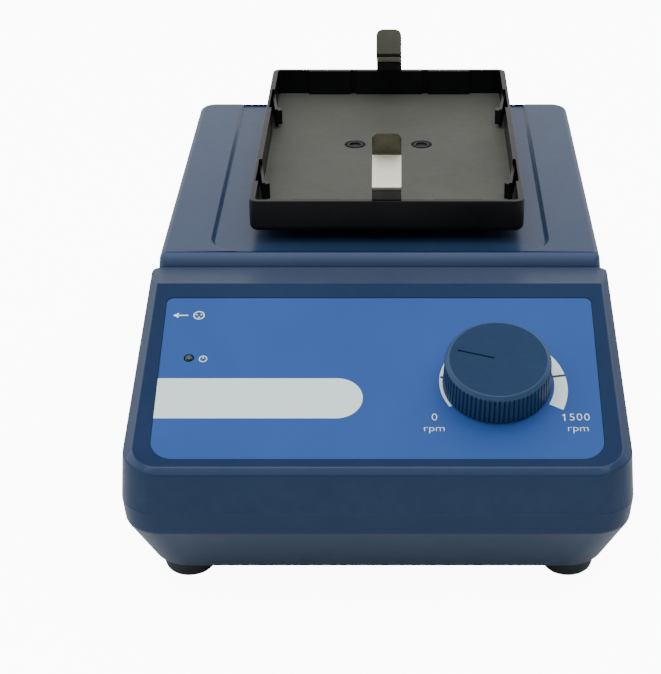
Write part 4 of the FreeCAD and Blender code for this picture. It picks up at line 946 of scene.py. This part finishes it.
@dataclass
class LowerShell(SubAssembly):
    """The tub under the seam, its bevel, screw wells and air slots."""

    bevel_side: float = 7.0
    bevel_front: float = 13.5
    bevel_rear: float = 9.0
    band: float = 25.8
    lean: float = 0.6
    seam_edge: float = 0.2
    bore: float = 1.7
    well: float = 3.3
    slot_count: int = 8
    slot_pitch: float = 5.0
    slot_half: float = 17.0

    def tub(self, inset: float) -> Form:
        """Return the tub's closed body, drawn in from the outer faces by an inset.

        Args:
            inset: the distance from the outer faces.

        Returns:
            The closed form.
        """
        place, lean, edge = self.layout, self.lean, self.seam_edge
        rim = Plan(place.half, place.front, place.back, place.corner,
                   place.back_corner).inset(inset)
        low = rim.drawn(self.bevel_side, self.bevel_front, self.bevel_rear)
        lower = ((low, place.foot + inset), (rim.drawn(lean, lean, lean), self.band))
        if inset:
            return Form().loft(*lower, (rim, place.seam - 0.4), (rim, place.seam + 2))
        form = Form().loft(*lower, (rim, place.seam - edge),
                           (rim.drawn(edge, edge, edge), place.seam))
        return form.soften(0.7, angle=12.0, segments=3,
                           where=lambda line: max(v.co.z for v in line.verts) < self.band + 0.1
                           and abs(line.verts[0].co.z - line.verts[1].co.z) < 0.01)

    def build(self) -> None:
        """Make the tub with its bosses and holes."""
        place = self.layout
        inner, outer = self.tub(place.wall), self.tub(0.0)
        pegs, bores, wells, slots = Form(), Form(), Form(), Form()
        for x, y in place.screw_places():
            pegs.rod(place.boss, place.foot + 1, place.seam - 0.02, x, y)
            bores.rod(self.bore, place.foot - 1, place.seam + 4, x, y, sides=24)
            wells.rod(self.well, place.foot - 1, place.foot + 11, x, y, sides=32)
        for x, y in place.foot_places():
            pegs.rod(place.boss, place.foot + 1, place.foot + 10, x, y)
            bores.rod(self.bore, place.foot - 1, place.foot + 8, x, y, sides=24)
        for row in range(self.slot_count):
            y = place.drive_y + (row - (self.slot_count - 1) / 2) * self.slot_pitch
            plan = Plan(self.slot_half, y - 1.0, y + 1.0, 0.9, 0.9, steps=4)
            slots.add(Form().sheet(plan, place.foot - 1, place.foot + 5))
        inner.join(Join.CUT, pegs)
        outer.join(Join.CUT, inner, bores, wells, slots)
        self.piece(outer, "lower_tub", "shell_painted_light", "base", ("lower_shell",), bevel=0.18,
                   # The upright band gets the darker copy: painted shade; the bevel keeps the
                   # greyer painted-light copy.
                   zones=[("band_painted_shade", lambda spot, way: spot.z > self.band
                           and abs(way.z) < 0.5)])


@dataclass
class FrontCover(SubAssembly):
    """The cover with the level strip and the framed, sloping control panel."""

    strip_half: float = 73.8
    joint_corner: float = 3.0
    label_half: float = 67.2
    label_top: float = 6.4
    label_length: float = 65.3
    crown_drop: float = 12.0
    crown_spread: float = 17.8
    crown_corner: float = 15.2
    crown_back: float = 60.0
    frame_low: float = 72.7
    frame_top: float = 69.8
    panel_length: float = 74.9

    def block(self, inset: float) -> Form:
        """Return the drafted block under the strip and the panel, drawn in by an inset.

        Args:
            inset: the distance from the outer faces.

        Returns:
            The closed form.
        """
        place = self.layout
        lean = (place.half - self.strip_half) * (place.deck - place.seam) / (
            place.strip - place.seam)
        low = Plan(place.half - inset, place.front + inset, place.deck_front - 0.15 - inset,
                   place.corner - inset, self.joint_corner, steps=12)
        form = Form().loft((low, place.seam - (1.0 if inset else 0.0)),
                           (low.drawn(lean, 0.0, 0.0), place.deck))
        form.clip((0, 0, place.strip - inset), (0, 0, 1))
        turn_y = place.panel_y - inset * tan(radians(place.panel_tilt) / 2)
        return form.clip((0, turn_y, place.strip - inset), place.square)

    def crown(self) -> Form:
        """Return the rounded frustum whose flanks leave the bevel round the panel.

        Returns:
            The closed form, in the panel's place.
        """
        top = Plan(self.frame_low, -self.panel_length, self.crown_back, 8.0, 4.0,
                   self.frame_low - self.frame_top, 12)
        low = replace(top.drawn(-self.crown_drop, -self.crown_spread, 0.0),
                      front_corner=self.crown_corner)
        form = Form().loft((low.drawn(0.0, -40.0, 0.0), -80.0), (low, -self.crown_drop),
                           (top, 0.0))
        return form.place(self.layout.panel())

    def label_plan(self, margin: float) -> Plan:
        """Return the label's outline, in the panel's own measure, with a margin.

        Args:
            margin: how far it stands out past the label's edge.

        Returns:
            The outline.
        """
        return Plan(self.label_half + margin, -self.label_top - self.label_length - margin,
                    -self.label_top + margin, 6.8, 2.2)

    def build(self) -> None:
        """Make the cover, hollow, with the label's seat and the two holes in it."""
        place = self.layout
        outer = self.block(0.0).join(Join.KEEP, self.crown())
        outer.soften(0.32, angle=16.0, segments=2,
                     where=lambda line: min(v.co.z for v in line.verts) > place.seam + 0.5)
        inner, pegs = self.block(place.wall), Form()
        holes = Form().rod(3.6, -10, 10).place(place.panel(*place.knob))
        holes.add(Form().rod(1.6, -10, 10, sides=24).place(place.panel(*place.lamp)))
        for x, y in place.screw_places()[:2]:
            pegs.rod(place.boss, place.seam, place.seam + 60, x, y)
            holes.rod(1.5, place.seam - 2, place.seam + 11, x, y, sides=24)
        inner.join(Join.CUT, pegs)
        seat = Form().sheet(self.label_plan(0.15), -0.5, 4.0).place(place.panel())
        outer.join(Join.CUT, inner, seat, holes)
        square = place.square
        self.piece(outer, "front_housing", "cover_paint", "base", ("front_cover",), sharp=24.0,
                   # The strip's upward faces get the painted sheen.
                   zones=[("strip_painted_sheen", lambda spot, way: way.z > 0.985
                           and spot.z > place.strip - 1),
                          # The chamfer round the panel gets the painted highlight.
                          ("chamfer_painted_highlight", lambda spot, way: 0.72 < way.dot(square) < 0.925
                           and spot.z > place.seam + 3),
                          # Faces square to the panel get the painted shade.
                          ("frame_painted_shade", lambda spot, way: way.dot(square) > 0.99)])


@dataclass
class RearCover(SubAssembly):
    """The cover behind the step: the deck with its recess, and the rear wall."""

    deck_half: float = 71.7
    deck_corner: float = 6.0
    deck_round: float = 2.0
    step_high: float = 4.1
    step_slant: float = 2.4
    step_levels: tuple[float, ...] = (3.3, 2.6, 2.0, 1.24, 0.59, 0.15, 0.0)
    recess_deep: float = 1.2
    recess_half: float = 56.0
    recess_corner: float = 11.0
    recess_front: float = 3.2
    opening: float = 19.5
    inlet: Triple = (-8.0, 13.95, 10.1)
    switch: Triple = (-55.0, 6.5, 9.5)
    inlet_screw: float = 20.0

    def block(self, inset: float) -> Form:
        """Return the drafted block with its rounded deck edge.

        Args:
            inset: how far it is drawn in from the outer faces.

        Returns:
            The closed form.
        """
        place = self.layout
        front = place.deck_front + inset
        low = Plan(place.half - inset, front, place.back - inset, 3.0, place.back_corner - inset)
        stages = [(low, place.seam - 1.0), (low, place.seam)] if inset else [(low, place.seam)]
        span = place.deck - place.seam
        for sunk in (self.step_high, *self.step_levels):
            share = max(1 - sunk / self.deck_round, 0.0)
            drawn = self.deck_round * (1 - sqrt(1 - share * share))
            share = 1 - sunk / self.step_high
            slant = self.step_slant * (1 - sqrt(1 - share * share)) + 0.8 * share
            side = self.deck_half + (place.half - self.deck_half) * sunk / span
            plan = Plan(side - inset - drawn, front + slant,
                        place.back - place.rear_lean * (1 - sunk / span) - inset - drawn,
                        max(3.0 - slant, 0.6), max(self.deck_corner - inset - drawn, 0.8))
            stages.append((plan, place.deck - inset - sunk))
        return Form().loft(*stages)

    def recess(self) -> Form:
        """Return the shallow hollow in the deck, with sloping flanks, open at the back.

        Returns:
            The form that cuts it.
        """
        place, deep = self.layout, self.recess_deep
        low, high = (Plan(self.recess_half + out, place.deck_front + self.recess_front - out,
                          place.back + 30.0, self.recess_corner + out, 5.0)
                     for out in (-deep, deep))
        return Form().loft((low, place.deck - deep), (high, place.deck + deep))

    def build(self) -> None:
        """Make the cover, hollow, with its opening and the rear wall's cut-outs."""
        place = self.layout
        outer = self.block(0.0).join(Join.CUT, self.recess())
        outer.soften(0.3, angle=30.0, segments=3,
                     where=lambda line: min(v.co.z for v in line.verts) > place.deck - 1.3)
        inner = self.block(place.wall)
        inner.clip((0, 0, place.deck - self.recess_deep - place.wall), (0, 0, 1))
        pegs, holes = Form(), Form()
        for x, y in place.screw_places()[2:]:
            pegs.rod(place.boss, place.seam, place.deck, x, y)
            holes.rod(1.5, place.seam - 2, place.seam + 11, x, y, sides=24)
        inner.join(Join.CUT, pegs)
        holes.rod(self.opening, place.deck - 10, place.deck + 10, 0, place.drive_y, sides=96)
        for x, half, high in (self.inlet, self.switch):
            holes.add(Form().box((-half, -15, -high), (half, 15, high)).place(place.rear(x)))
        for side in SIDES:
            bore = Form().rod(1.5, -10, 10, sides=24).place(rotation(90, "X"))
            holes.add(bore.place(place.rear(self.inlet[0] + side * self.inlet_screw)))
        outer.join(Join.CUT, inner, holes)
        self.piece(outer, "rear_housing", "cover_paint", "base", ("rear_cover",), sharp=24.0,
                   # The step's forward faces get the painted highlight.
                   zones=[("step_painted_highlight", lambda spot, way: way.y < -0.3
                           and spot.z > place.strip - 1 and spot.y < place.deck_front + 4)])


@dataclass
class PanelLabel(SubAssembly):
    """The printed film on the panel, with its band, scale, numerals and signs."""

    cover: FrontCover | None = None
    film: float = 0.35
    sunk: float = 0.5
    ink: float = 0.04
    scale_start: float = 213.0
    scale_end: float = -28.5
    scale_inner: float = 16.5
    band_right: float = -4.6
    band_high: float = 15.9
    band_down: float = 48.2
    numerals_down: float = 55.8
    units_down: float = 60.1
    arrow_down: float = 13.9

    def printed(self, form: Form, x: float, down: float, layer: float = 0.0) -> Form:
        """Put a print on the film's face, or a layer above it."""
        return form.place(self.layout.panel(x, down, self.film - self.sunk + layer))

    def bar(self, left: float, right: float, low: float, high: float) -> Form:
        """Return a flat block of print."""
        return Form().box((left, low, 0.0), (right, high, self.ink))

    def ring_sign(self, radius: float, stroke: float) -> Form:
        """Return a thin raised ring.

        Args:
            radius: the radius of the middle of its line.
            stroke: the width of its line.

        Returns:
            The ring.
        """
        low, high = radius - stroke / 2, radius + stroke / 2
        return Form().turned([(low, 0.0), (high, 0.0), (high, self.ink), (low, self.ink)],
                             sides=36)

    def scale_arc(self) -> Form:
        """Return the crescent that widens clockwise round the knob.

        Returns:
            The crescent in its place.
        """
        form = Form()
        bmesh.ops.create_grid(form.bm, x_segments=72, y_segments=1, size=0.5)
        for vert in form.bm.verts:
            share, side = vert.co.x + 0.5, vert.co.y + 0.5
            angle = radians(self.scale_start + (self.scale_end - self.scale_start) * share)
            inner = self.scale_inner + 1.1 * share
            outer = self.scale_inner + 0.85 + 4.9 * share ** 1.6
            radius = inner + (outer - inner) * side
            vert.co = Vector((radius * cos(angle), radius * sin(angle), 0.0))
        grown = bmesh.ops.extrude_face_region(form.bm, geom=form.bm.faces[:])
        bmesh.ops.translate(form.bm, verts=only(BMVert, grown["geom"]), vec=(0, 0, self.ink))
        return self.printed(form.even(), *self.layout.knob)

    def band(self) -> Form:
        """Return the pale band that starts at the film's left edge and ends in a half round.

        Returns:
            The band in its place.
        """
        left, half = -self.cover.label_half, self.band_high / 2
        middle = (self.band_right + left) / 2
        plan = Plan((self.band_right - left) / 2, -half, half, 7.9, 7.9, steps=16)
        form = Form().sheet(plan, 0.0, self.ink)
        form.join(Join.ADD, self.bar(left - middle, 0.0, -half, half))
        return self.printed(form, middle, self.band_down)

    def signs(self) -> Form:
        """Return the numerals, the units and the generic signs, all in one pale print.

        Returns:
            All of them in their places.
        """
        marks, row, top = Form(), self.numerals_down, self.arrow_down
        for text, size, wide, x, down in (
                ("0", 3.9, 1.0, 17.03, row), ("5", 3.9, 1.05, 58.25, row),
                ("0", 3.9, 1.0, 60.45, row), ("0", 3.9, 1.0, 62.7, row),
                ("rpm", 3.5, 1.15, 16.9, self.units_down),
                ("rpm", 3.5, 1.15, 59.8, self.units_down)):
            sign = Form().lettering(text, size, self.ink)
            marks.add(self.printed(sign.place(Matrix.Diagonal((wide, 1.0, 1.0, 1.0))), x, down))
        flag = self.bar(-0.85, 0.0, -0.17, 0.17).place(rotation(35, "Z")).shift(0.1, 1.2, 0.0)
        marks.add(self.printed(self.bar(-0.17, 0.17, -1.37, 1.37).add(flag), 56.0, row))
        arrow = Form().rod(1.25, 0.0, self.ink, sides=3).place(rotation(90, "Z"))
        marks.add(self.printed(arrow, -63.6, top))
        marks.add(self.printed(self.bar(-1.6, 1.6, -0.22, 0.22), -61.6, top))
        marks.add(self.printed(self.ring_sign(1.6, 0.4), -56.6, top))
        for x, down in ((-57.3, 13.6), (-55.9, 13.6), (-56.6, 14.7)):
            marks.add(self.printed(Form().rod(0.28, 0.0, self.ink, sides=16), x, down))
        power = self.ring_sign(1.15, 0.32)
        power.join(Join.CUT, Form().box((-0.4, 0.3, -1.0), (0.4, 2.0, 1.0)))
        return marks.add(self.printed(power.add(self.bar(-0.16, 0.16, 0.1, 1.45)), -54.0, 32.3))

    def build(self) -> None:
        """Make the film and everything printed on it."""
        panel, knob = self.layout.panel, self.layout.knob
        film = Form().sheet(self.cover.label_plan(0.0), 0.0, self.film)
        holes = Form().rod(7.0, -2, 2).place(panel(*knob))
        holes.add(Form().rod(1.6, -2, 2, sides=32).place(panel(*self.layout.lamp)))
        film.place(panel(0, 0, -self.sunk)).join(Join.CUT, holes)
        self.piece(film, "panel_film", "label_film", "base", ("panel_label",))
        self.piece(self.band(), "print_band", "pale_ink", "base")
        self.piece(self.scale_arc(), "print_scale", "pale_ink", "base")
        self.piece(self.signs(), "print_signs", "pale_ink", "base")
        ticks = Form()
        for angle, low, high in ((172.0, 16.4, 17.4), (8.6, 17.0, 21.2)):
            tick = self.bar(low, high, -0.42, 0.42).place(rotation(angle, "Z"))
            ticks.add(self.printed(tick, *knob, self.ink))
        self.piece(ticks, "print_ticks", "dark_ink", "base")


@dataclass
class SpeedKnob(SubAssembly):
    """The fluted knob with its bevelled rim and sunk pointer."""

    gap: float = 0.5
    height: float = 10.5
    skirt: float = 16.5
    top: float = 16.1
    face: float = 14.8
    rim: float = 1.4
    ribs: int = 70
    rib_steps: int = 8
    rib_deep: float = 0.55
    pointer: Pair = (1.2, 12.6)
    pointer_angle: float = 164.0

    def fluted(self) -> Form:
        """Return the fluted side with its rim and face, closed below by a hollow.

        Returns:
            The closed form, standing on the origin.
        """
        form = Form()
        made = bmesh.ops.create_circle(form.bm, cap_ends=False, radius=self.skirt,
                                       segments=self.ribs * self.rib_steps)
        for vert in made["verts"]:
            turn = atan2(vert.co.y, vert.co.x) * self.ribs
            valley = max(0.0, -cos(turn)) ** 0.7
            vert.co *= (self.skirt - self.rib_deep * valley) / self.skirt
        edges = form.bm.edges[:]
        shoulder = self.height - self.rim
        for level, size in ((0.35, 1.0), (shoulder, self.top / self.skirt)):
            edges = self.grow(form, edges, level, size)
        for level, radius in ((shoulder + 0.25, self.top - 0.12),
                              (self.height - 0.2, self.face + 0.22),
                              (self.height, self.face - 0.1), (self.height, self.face - 1.2)):
            edges = self.grow(form, edges, level, None, radius)
        bmesh.ops.edgeloop_fill(form.bm, edges=edges)
        low = [edge for edge in form.bm.edges if edge.is_boundary]
        for level, radius in ((0.0, 8.0), (2.6, 8.0), (2.6, 3.0), (self.height - 2, 3.0)):
            low = self.grow(form, low, level, None, radius)
        bmesh.ops.edgeloop_fill(form.bm, edges=low)
        return form.even()

    def grow(self, form: Form, edges: list[BMEdge], level: float, size: float | None,
             radius: float = 0.0) -> list[BMEdge]:
        """Extrude a loop to a level, scaled by a size or else set to one radius.

        Args:
            form: the form that the loop is part of.
            edges: the loop.
            level: the new level.
            size: what the loop's radii are multiplied by, or None.
            radius: the one radius that the loop gets where size is None.

        Returns:
            The new loop.
        """
        grown = bmesh.ops.extrude_edge_only(form.bm, edges=edges)
        for vert in only(BMVert, grown["geom"]):
            flat = Vector((vert.co.x, vert.co.y, 0.0))
            flat = flat * size if size is not None else flat.normalized() * radius
            vert.co = Vector((flat.x, flat.y, level))
        return only(BMEdge, grown["geom"])

    def build(self) -> None:
        """Make the knob with its pointer."""
        start, end = self.pointer
        groove = Form().box((start, -0.32, self.height - 0.5), (end, 0.32, self.height + 1))
        form = self.fluted().join(Join.CUT, groove.place(rotation(self.pointer_angle, "Z")))
        form.place(self.layout.panel(*self.layout.knob, self.gap))
        square = self.layout.square
        self.piece(form, "fluted_knob", "knob_moulding", "knob", ("speed_knob",), sharp=38.0,
                   # The fluted side gets the painted light and the rim chamfer the painted
                   # highlight.
                   zones=[("knob_side_painted_light", lambda spot, way: abs(way.dot(square)) < 0.3),
                          ("knob_rim_painted_highlight", lambda spot, way: 0.3 <= way.dot(square) < 0.95)])


@dataclass
class PowerLamp(SubAssembly):
    """The small dark lamp in the panel."""

    radius: float = 1.5
    flange: float = 2.0

    def build(self) -> None:
        """Make the lamp's lens with its dome."""
        side, wide = self.radius, self.flange
        profile = [(0.0, -6.3), (side, -6.3), (side, -3.8), (wide, -3.8), (wide, -2.6),
                   (side, -2.6)]
        profile += [(side * cos(radians(angle)), -1.05 + side * sin(radians(angle)))
                    for angle in range(0, 91, 10)]
        form = Form().turned(profile, sides=40, closed=False)
        form.place(self.layout.panel(*self.layout.lamp))
        self.piece(form, "lamp_lens_dome", "lamp_lens", "base", ("power_led",))


@dataclass
class Tray(SubAssembly):
    """The low black tray with its end pads, side recesses and spring fingers."""

    half: float = 45.3
    end: float = 66.75
    height: float = 11.0
    floor: float = 1.4
    side: float = 2.0
    end_wall: float = 1.6
    round: float = 2.0
    recess_y: Pair = (-39.0, 33.0)
    recess_long: float = 20.0
    recess_high: float = 8.2
    skin: float = 0.8
    pad_x: float = 23.3
    pad_y: float = 64.85
    pad_half: float = 8.2
    clip_y: float = 65.25
    screw_x: float = 12.15

    def shell(self) -> Form:
        """Return the open tray with its rounded underside.

        Returns:
            The tray, centred on the origin.
        """
        plan = Plan(self.half, -self.end, self.end, 3.0, 3.0)
        stages = [(plan.inset(self.round * (1 - cos(radians(turn)))),
                   self.round * (1 - sin(radians(turn)))) for turn in (90.0, 60.0, 30.0, 0.0)]
        outer = Form().loft(*stages, (plan, self.height))
        outer.soften(0.35, angle=40.0, segments=3)
        room = Plan(self.half - self.side, -self.end + self.end_wall,
                    self.end - self.end_wall, 1.2, 1.2, steps=5)
        inner = Form().loft((room.inset(0.5), self.floor), (room.inset(0.15), self.floor + 0.15),
                            (room, self.floor + 0.5), (room, self.height + 3))
        return outer.join(Join.CUT, inner)

    def finger(self, hand: int, middle: float) -> Form:
        """Return one spring finger, rooted behind and leaning in, with its nub.

        Args:
            hand: -1 on the left and 1 on the right.
            middle: where the middle of its recess is.

        Returns:
            The finger in the tray's place.
        """
        nub = Form().box((0.0, -17.0, 0.6), (2.15, -12.5, 6.2))
        for vert in nub.bm.verts:
            if vert.co.x > 1:
                vert.co.y += 1.0 if vert.co.y < -14 else -1.3
        if hand > 0:
            nub.place(Matrix.Scale(-1, 4, (1, 0, 0)))
        form = Form().box((-0.55, -17.0, 0.0), (0.55, 1.0, 6.8)).join(Join.ADD, nub.even())
        form.soften(0.2, angle=30.0, segments=2).place(rotation(-7.0 * hand, "Z"))
        return form.shift(hand * (self.half - self.side / 2 - self.skin + 0.3),
                          middle + self.recess_long / 2, 2.2)

    def build(self) -> None:
        """Make the tray with its screws and place it on the platform."""
        place, tray = self.layout, self.shell()
        recesses, ledges, adds = Form(), Form(), []
        for fore in SIDES:
            for hand in SIDES:
                middle = hand * (self.half - self.side / 2 - self.skin)
                y = self.recess_y[(fore + 1) // 2]
                near, far = y - self.recess_long / 2, y + self.recess_long / 2
                recesses.add(Form().box((middle - 1.0, near, self.floor),
                                        (middle + 1.0, far, self.floor + self.recess_high)))
                inside = hand * (self.half - self.side)
                ledges.add(Form().box((inside - 1.0, near, self.height - 3),
                                      (inside + 1.0, far, self.height + 3)))
                x, y = hand * self.pad_x, fore * self.pad_y
                adds.append(Form().box((x - self.pad_half, y - 0.7, 1.0),
                                       (x + self.pad_half, y + 0.7, self.height)).soften(0.3))
            y = fore * self.clip_y
            adds.append(Form().box((-13.0, y - 1.0, 0.5),
                                   (13.0, y + 1.0, self.height)).soften(0.3))
        seats, leads, slots, dishes = Form(), Form(), Form(), Form()
        floor_level = place.tray_z + self.floor
        for hand in SIDES:
            x, y = hand * self.screw_x, place.drive_y - place.tray_y
            seats.rod(3.6, 0.7, 5.0, x, y, sides=40)
            leads.rod(3.6, 1.1, 1.45, x, y, sides=40, top=4.0)
            slots.rod(1.7, -1.0, 5.0, x, y, sides=24)
            dishes.rod(1.9, floor_level - 0.5, floor_level + 1.0, place.tray_x + x,
                       place.drive_y, sides=40, top=2.6)
            y = hand * self.clip_y
            slots.box((-4.9, y - 0.35, -1.0), (4.9, y + 0.35, 13.0))
        tray.join(Join.CUT, recesses, ledges).join(Join.ADD, *adds)
        tray.join(Join.CUT, leads, seats, slots).soften(0.16, angle=50.0, segments=2)
        for middle in self.recess_y:
            for hand in SIDES:
                tray.add(self.finger(hand, middle))
        tray.shift(place.tray_x, place.tray_y, place.tray_z)
        # The floor's upward faces get the grey painted sheen.
        self.piece(tray, "plate_tray", "tray_moulding", "platform", ("microplate_tray",), zones=[
            ("tray_floor_painted_sheen", lambda spot, way: way.z > 0.9 and abs(spot.z - floor_level) < 0.3)])
        screws = Form.from_node("tray_screws").join(Join.CUT, dishes)
        self.piece(screws, "tray_screws_dressed", "blackened_screw", "platform",
                   ("tray_screws",), bevel=0.08)
        self.piece(Form.from_node("clip_screws"), "clip_screws_dressed", "blackened_screw",
                   "platform", ("clip_screws",), bevel=0.12)


@dataclass
class SpringClips(SubAssembly):
    """The two bent steel strips that hold a plate from the tray's ends."""

    width: float = 9.6
    thick: float = 0.6
    middle: float = 65.25
    root: float = 92.8
    under: float = 81.2
    foot: float = 7.0
    bend: float = 96.2
    lean: float = 14.4
    lean_rise: float = 6.7
    tab_out: float = 4.8
    tab_rise: float = 9.2

    def build(self) -> None:
        """Make each clip's fixed leg and its flexing blade."""
        leg = [(self.middle, self.root), (self.middle, self.under),
               (self.middle - self.foot, self.under)]
        crease = (self.middle - self.lean, self.bend + self.lean_rise)
        blade = [(self.middle, self.root), (self.middle, self.bend), crease,
                 (crease[0] + self.tab_out, crease[1] + self.tab_rise)]
        for word, side in (("front", -1), ("back", 1)):
            for part, path, body, corner in (("leg", leg, "platform", 0.0),
                                             ("blade", blade, f"{word}_clip", 2.6)):
                form = Form().strip([(side * y, z) for y, z in path], self.width, 1.1, corner)
                form.shift(self.layout.tray_x, self.layout.tray_y, 0.0)
                # Steel painted dark for its dark reflections, with a painted shade on the upright
                # faces below the bend and a painted glint on the lean above it.
                self.piece(form, f"{word}_clip_{part}_strip", "steel_painted_dark_reflection", body,
                           (f"{word}_clip_{part}",), bevel=0.1, wall=self.thick, zones=[
                    ("steel_painted_shade", lambda spot, way: abs(way.y) > 0.93 and spot.z < self.bend),
                    ("steel_painted_glint", lambda spot, way: 0.8 < abs(way.z) < 0.97
                     and spot.z > self.bend)])


@dataclass
class Feet(SubAssembly):
    """Four turned rubber feet with room for their screws."""

    profile: tuple[Pair, ...] = (
        (1.7, 5.5), (8.6, 5.5), (8.35, 4.2), (7.85, 1.9), (7.5, 1.0), (6.9, 0.35), (5.8, 0.0),
        (4.0, 0.0), (3.6, 0.4), (3.6, 2.5), (1.7, 2.5))

    def build(self) -> None:
        """Make the feet as one piece."""
        feet = Form()
        for x, y in self.layout.foot_places():
            feet.add(Form().turned(self.profile, sides=56).shift(x, y, 0.0))
        self.piece(feet, "turned_feet", "foot_rubber", "base", ("rubber_feet",), sharp=50.0)


@dataclass
class RearFittings(SubAssembly):
    """The mains inlet and the power switch in the rear wall."""

    def build(self) -> None:
        """Make the inlet, the switch's bezel and the rocker, and dress the inlet's metal."""
        for node, body in (("mains_inlet", "base"), ("switch_bezel", "base"),
                           ("power_rocker", "rocker")):
            self.piece(Form.from_node(node), f"{node}_moulding", "moulded_black", body, (node,),
                       bevel=0.25)
        self.dress("zinc_plate", "inlet_screws")
        self.dress("turned_bronze", "inlet_pins")


@dataclass
class Drive(SubAssembly):
    """The drive, the platform's neck and everything else inside the housing."""

    def build(self) -> None:
        """Make the neck, and dress the inner nodes, whose CAD shapes stay."""
        self.piece(Form.from_node("platform_neck"), "neck_turned", "cast_metal", "platform",
                   ("platform_neck",), bevel=0.3)
        self.dress("cast_metal", "drive_plate", "platform_carriage")
        self.dress("zinc_plate", "foot_screws", "cover_screws", "potentiometer",
                   "potentiometer_nut", "plate_pillars", "plate_screws", "motor_screws",
                   "drive_motor", "motor_shaft", "eccentric_hub", "hub_grub_screw",
                   "left_idler_crank", "right_idler_crank", "carriage_bearings", "neck_screws",
                   "knob_spindle")
        self.dress("turned_bronze", "idler_bushings", "counterweight")
        self.dress("moulded_black", "board_posts", "board_components")
        self.dress("board_mask", "control_board")
        self.dress("laminated_iron", "transformer_core")
        self.dress("coil_wrap", "transformer_coil")


# ---------------------------------------------------------------------------
# Studio
# ---------------------------------------------------------------------------


@dataclass
class Studio:
    """The pale floor, the soft lights and the camera.

    Places are in metres, only the floor is laid out in millimetres. Each light has its name,
    its power in watts, its width and height, and its place.
    """

    lens: float = 100.68
    eye: Triple = (0.0074, -0.58084, 0.32769)
    down: float = 27.005
    shift: float = -0.1087
    room_front: float = 0.13
    room_back: float = 1.42
    floor_half: float = 4000.0
    glow: float = 10.0
    aim: Triple = (0.0, 0.0, 0.05)
    lights: tuple[tuple[str, float, Pair, Triple], ...] = (
        ("softbox_top", 8.6, (1.3, 0.80), (0.05, -0.28, 1.35)),
        ("softbox_left", 1.8, (0.55, 0.55), (-1.30, 0.28, 1.33)),
        ("softbox_right", 1.8, (0.55, 0.55), (1.34, 0.28, 1.33)),
        ("softbox_front", 4.4, (1.6, 0.34), (0.0, -0.90, 1.08)))

    def camera(self) -> None:
        """Place the camera at the photograph's angle."""
        data = bpy.data.cameras.new("camera")
        data.lens, data.sensor_width, data.sensor_fit = self.lens, 36.0, "HORIZONTAL"
        data.shift_x = self.shift
        data.clip_start, data.clip_end = 0.01, 20.0
        holder = show("camera", data)
        holder.location = self.eye
        holder.rotation_euler = (radians(90 - self.down), 0.0, 0.0)
        bpy.context.scene.camera = holder

    def light(self, name: str, power: float, size: Pair, eye: Triple) -> None:
        """Place one soft light that points at the object.

        Args:
            name: its name.
            power: its power in watts.
            size: its width and height in metres.
            eye: where it is.
        """
        data = bpy.data.lights.new(name, "AREA")
        data.energy, data.shape = power, "RECTANGLE"
        data.size, data.size_y = size
        holder = show(name, data)
        holder.location = eye
        way = Vector(self.aim) - Vector(eye)
        holder.rotation_euler = way.to_track_quat("-Z", "Y").to_euler()

    def world(self) -> None:
        """Make a room that is bright behind, overhead and on the left, and dim in front."""
        world = bpy.data.worlds.new("studio")
        world.use_nodes = True
        bpy.context.scene.world = world
        tree = Tree(world.node_tree)
        way = tree.node("ShaderNodeTexCoord").outputs["Generated"]
        parts = tree.node("ShaderNodeSeparateXYZ", {0: way}).outputs
        level = tree.add(parts["Y"], tree.times(parts["Z"], 0.35))
        level = tree.add(level, tree.span(parts["X"], -0.45, -0.95, 0.0, 1.1))
        tree.fill(world.node_tree.nodes["Background"], {
            "Color": WHITE,
            "Strength": tree.span(level, -0.35, 1.0, self.room_front, self.room_back)})

    def floor(self) -> None:
        """Make the pale floor, which the camera sees as white."""
        form = Form()
        bmesh.ops.create_grid(form.bm, x_segments=1, y_segments=1, size=self.floor_half)
        holder = show("studio_floor", form.to_mesh("studio_floor", MM))
        material = bpy.data.materials.new("pale_floor")
        material.use_nodes = True
        tree = Tree(material.node_tree)
        spot = tree.node("ShaderNodeTexCoord").outputs["Object"]
        cloud = tree.noise(spot, 3.0, Detail=2.0)
        seen = tree.node("ShaderNodeLightPath").outputs["Is Camera Ray"]
        tree.fill(material.node_tree.nodes["Principled BSDF"], {
            "Base Color": tree.mix(cloud, (0.86, 0.86, 0.86, 1), (0.9, 0.9, 0.9, 1)),
            "Roughness": 0.7, "Emission Color": WHITE,
            "Emission Strength": tree.times(seen, self.glow)})
        holder.data.materials.append(material)

    def build(self) -> None:
        """Make the whole studio."""
        self.camera()
        self.world()
        self.floor()
        for light in self.lights:
            self.light(*light)


def main() -> None:
    """Build every sub-assembly and the studio, and log how many pieces each has."""
    layout, store = Layout(), Store()
    cover = FrontCover(layout, store)
    parts: list[SubAssembly] = [
        LowerShell(layout, store), cover, RearCover(layout, store),
        PanelLabel(layout, store, cover=cover), SpeedKnob(layout, store),
        PowerLamp(layout, store), Tray(layout, store), SpringClips(layout, store),
        Feet(layout, store), RearFittings(layout, store), Drive(layout, store)]
    for part in parts:
        part.build()
        log.info("%s is done, %d pieces", type(part).__name__, len(part.pieces))
    Studio().build()


if __name__ == "__main__":
    main()
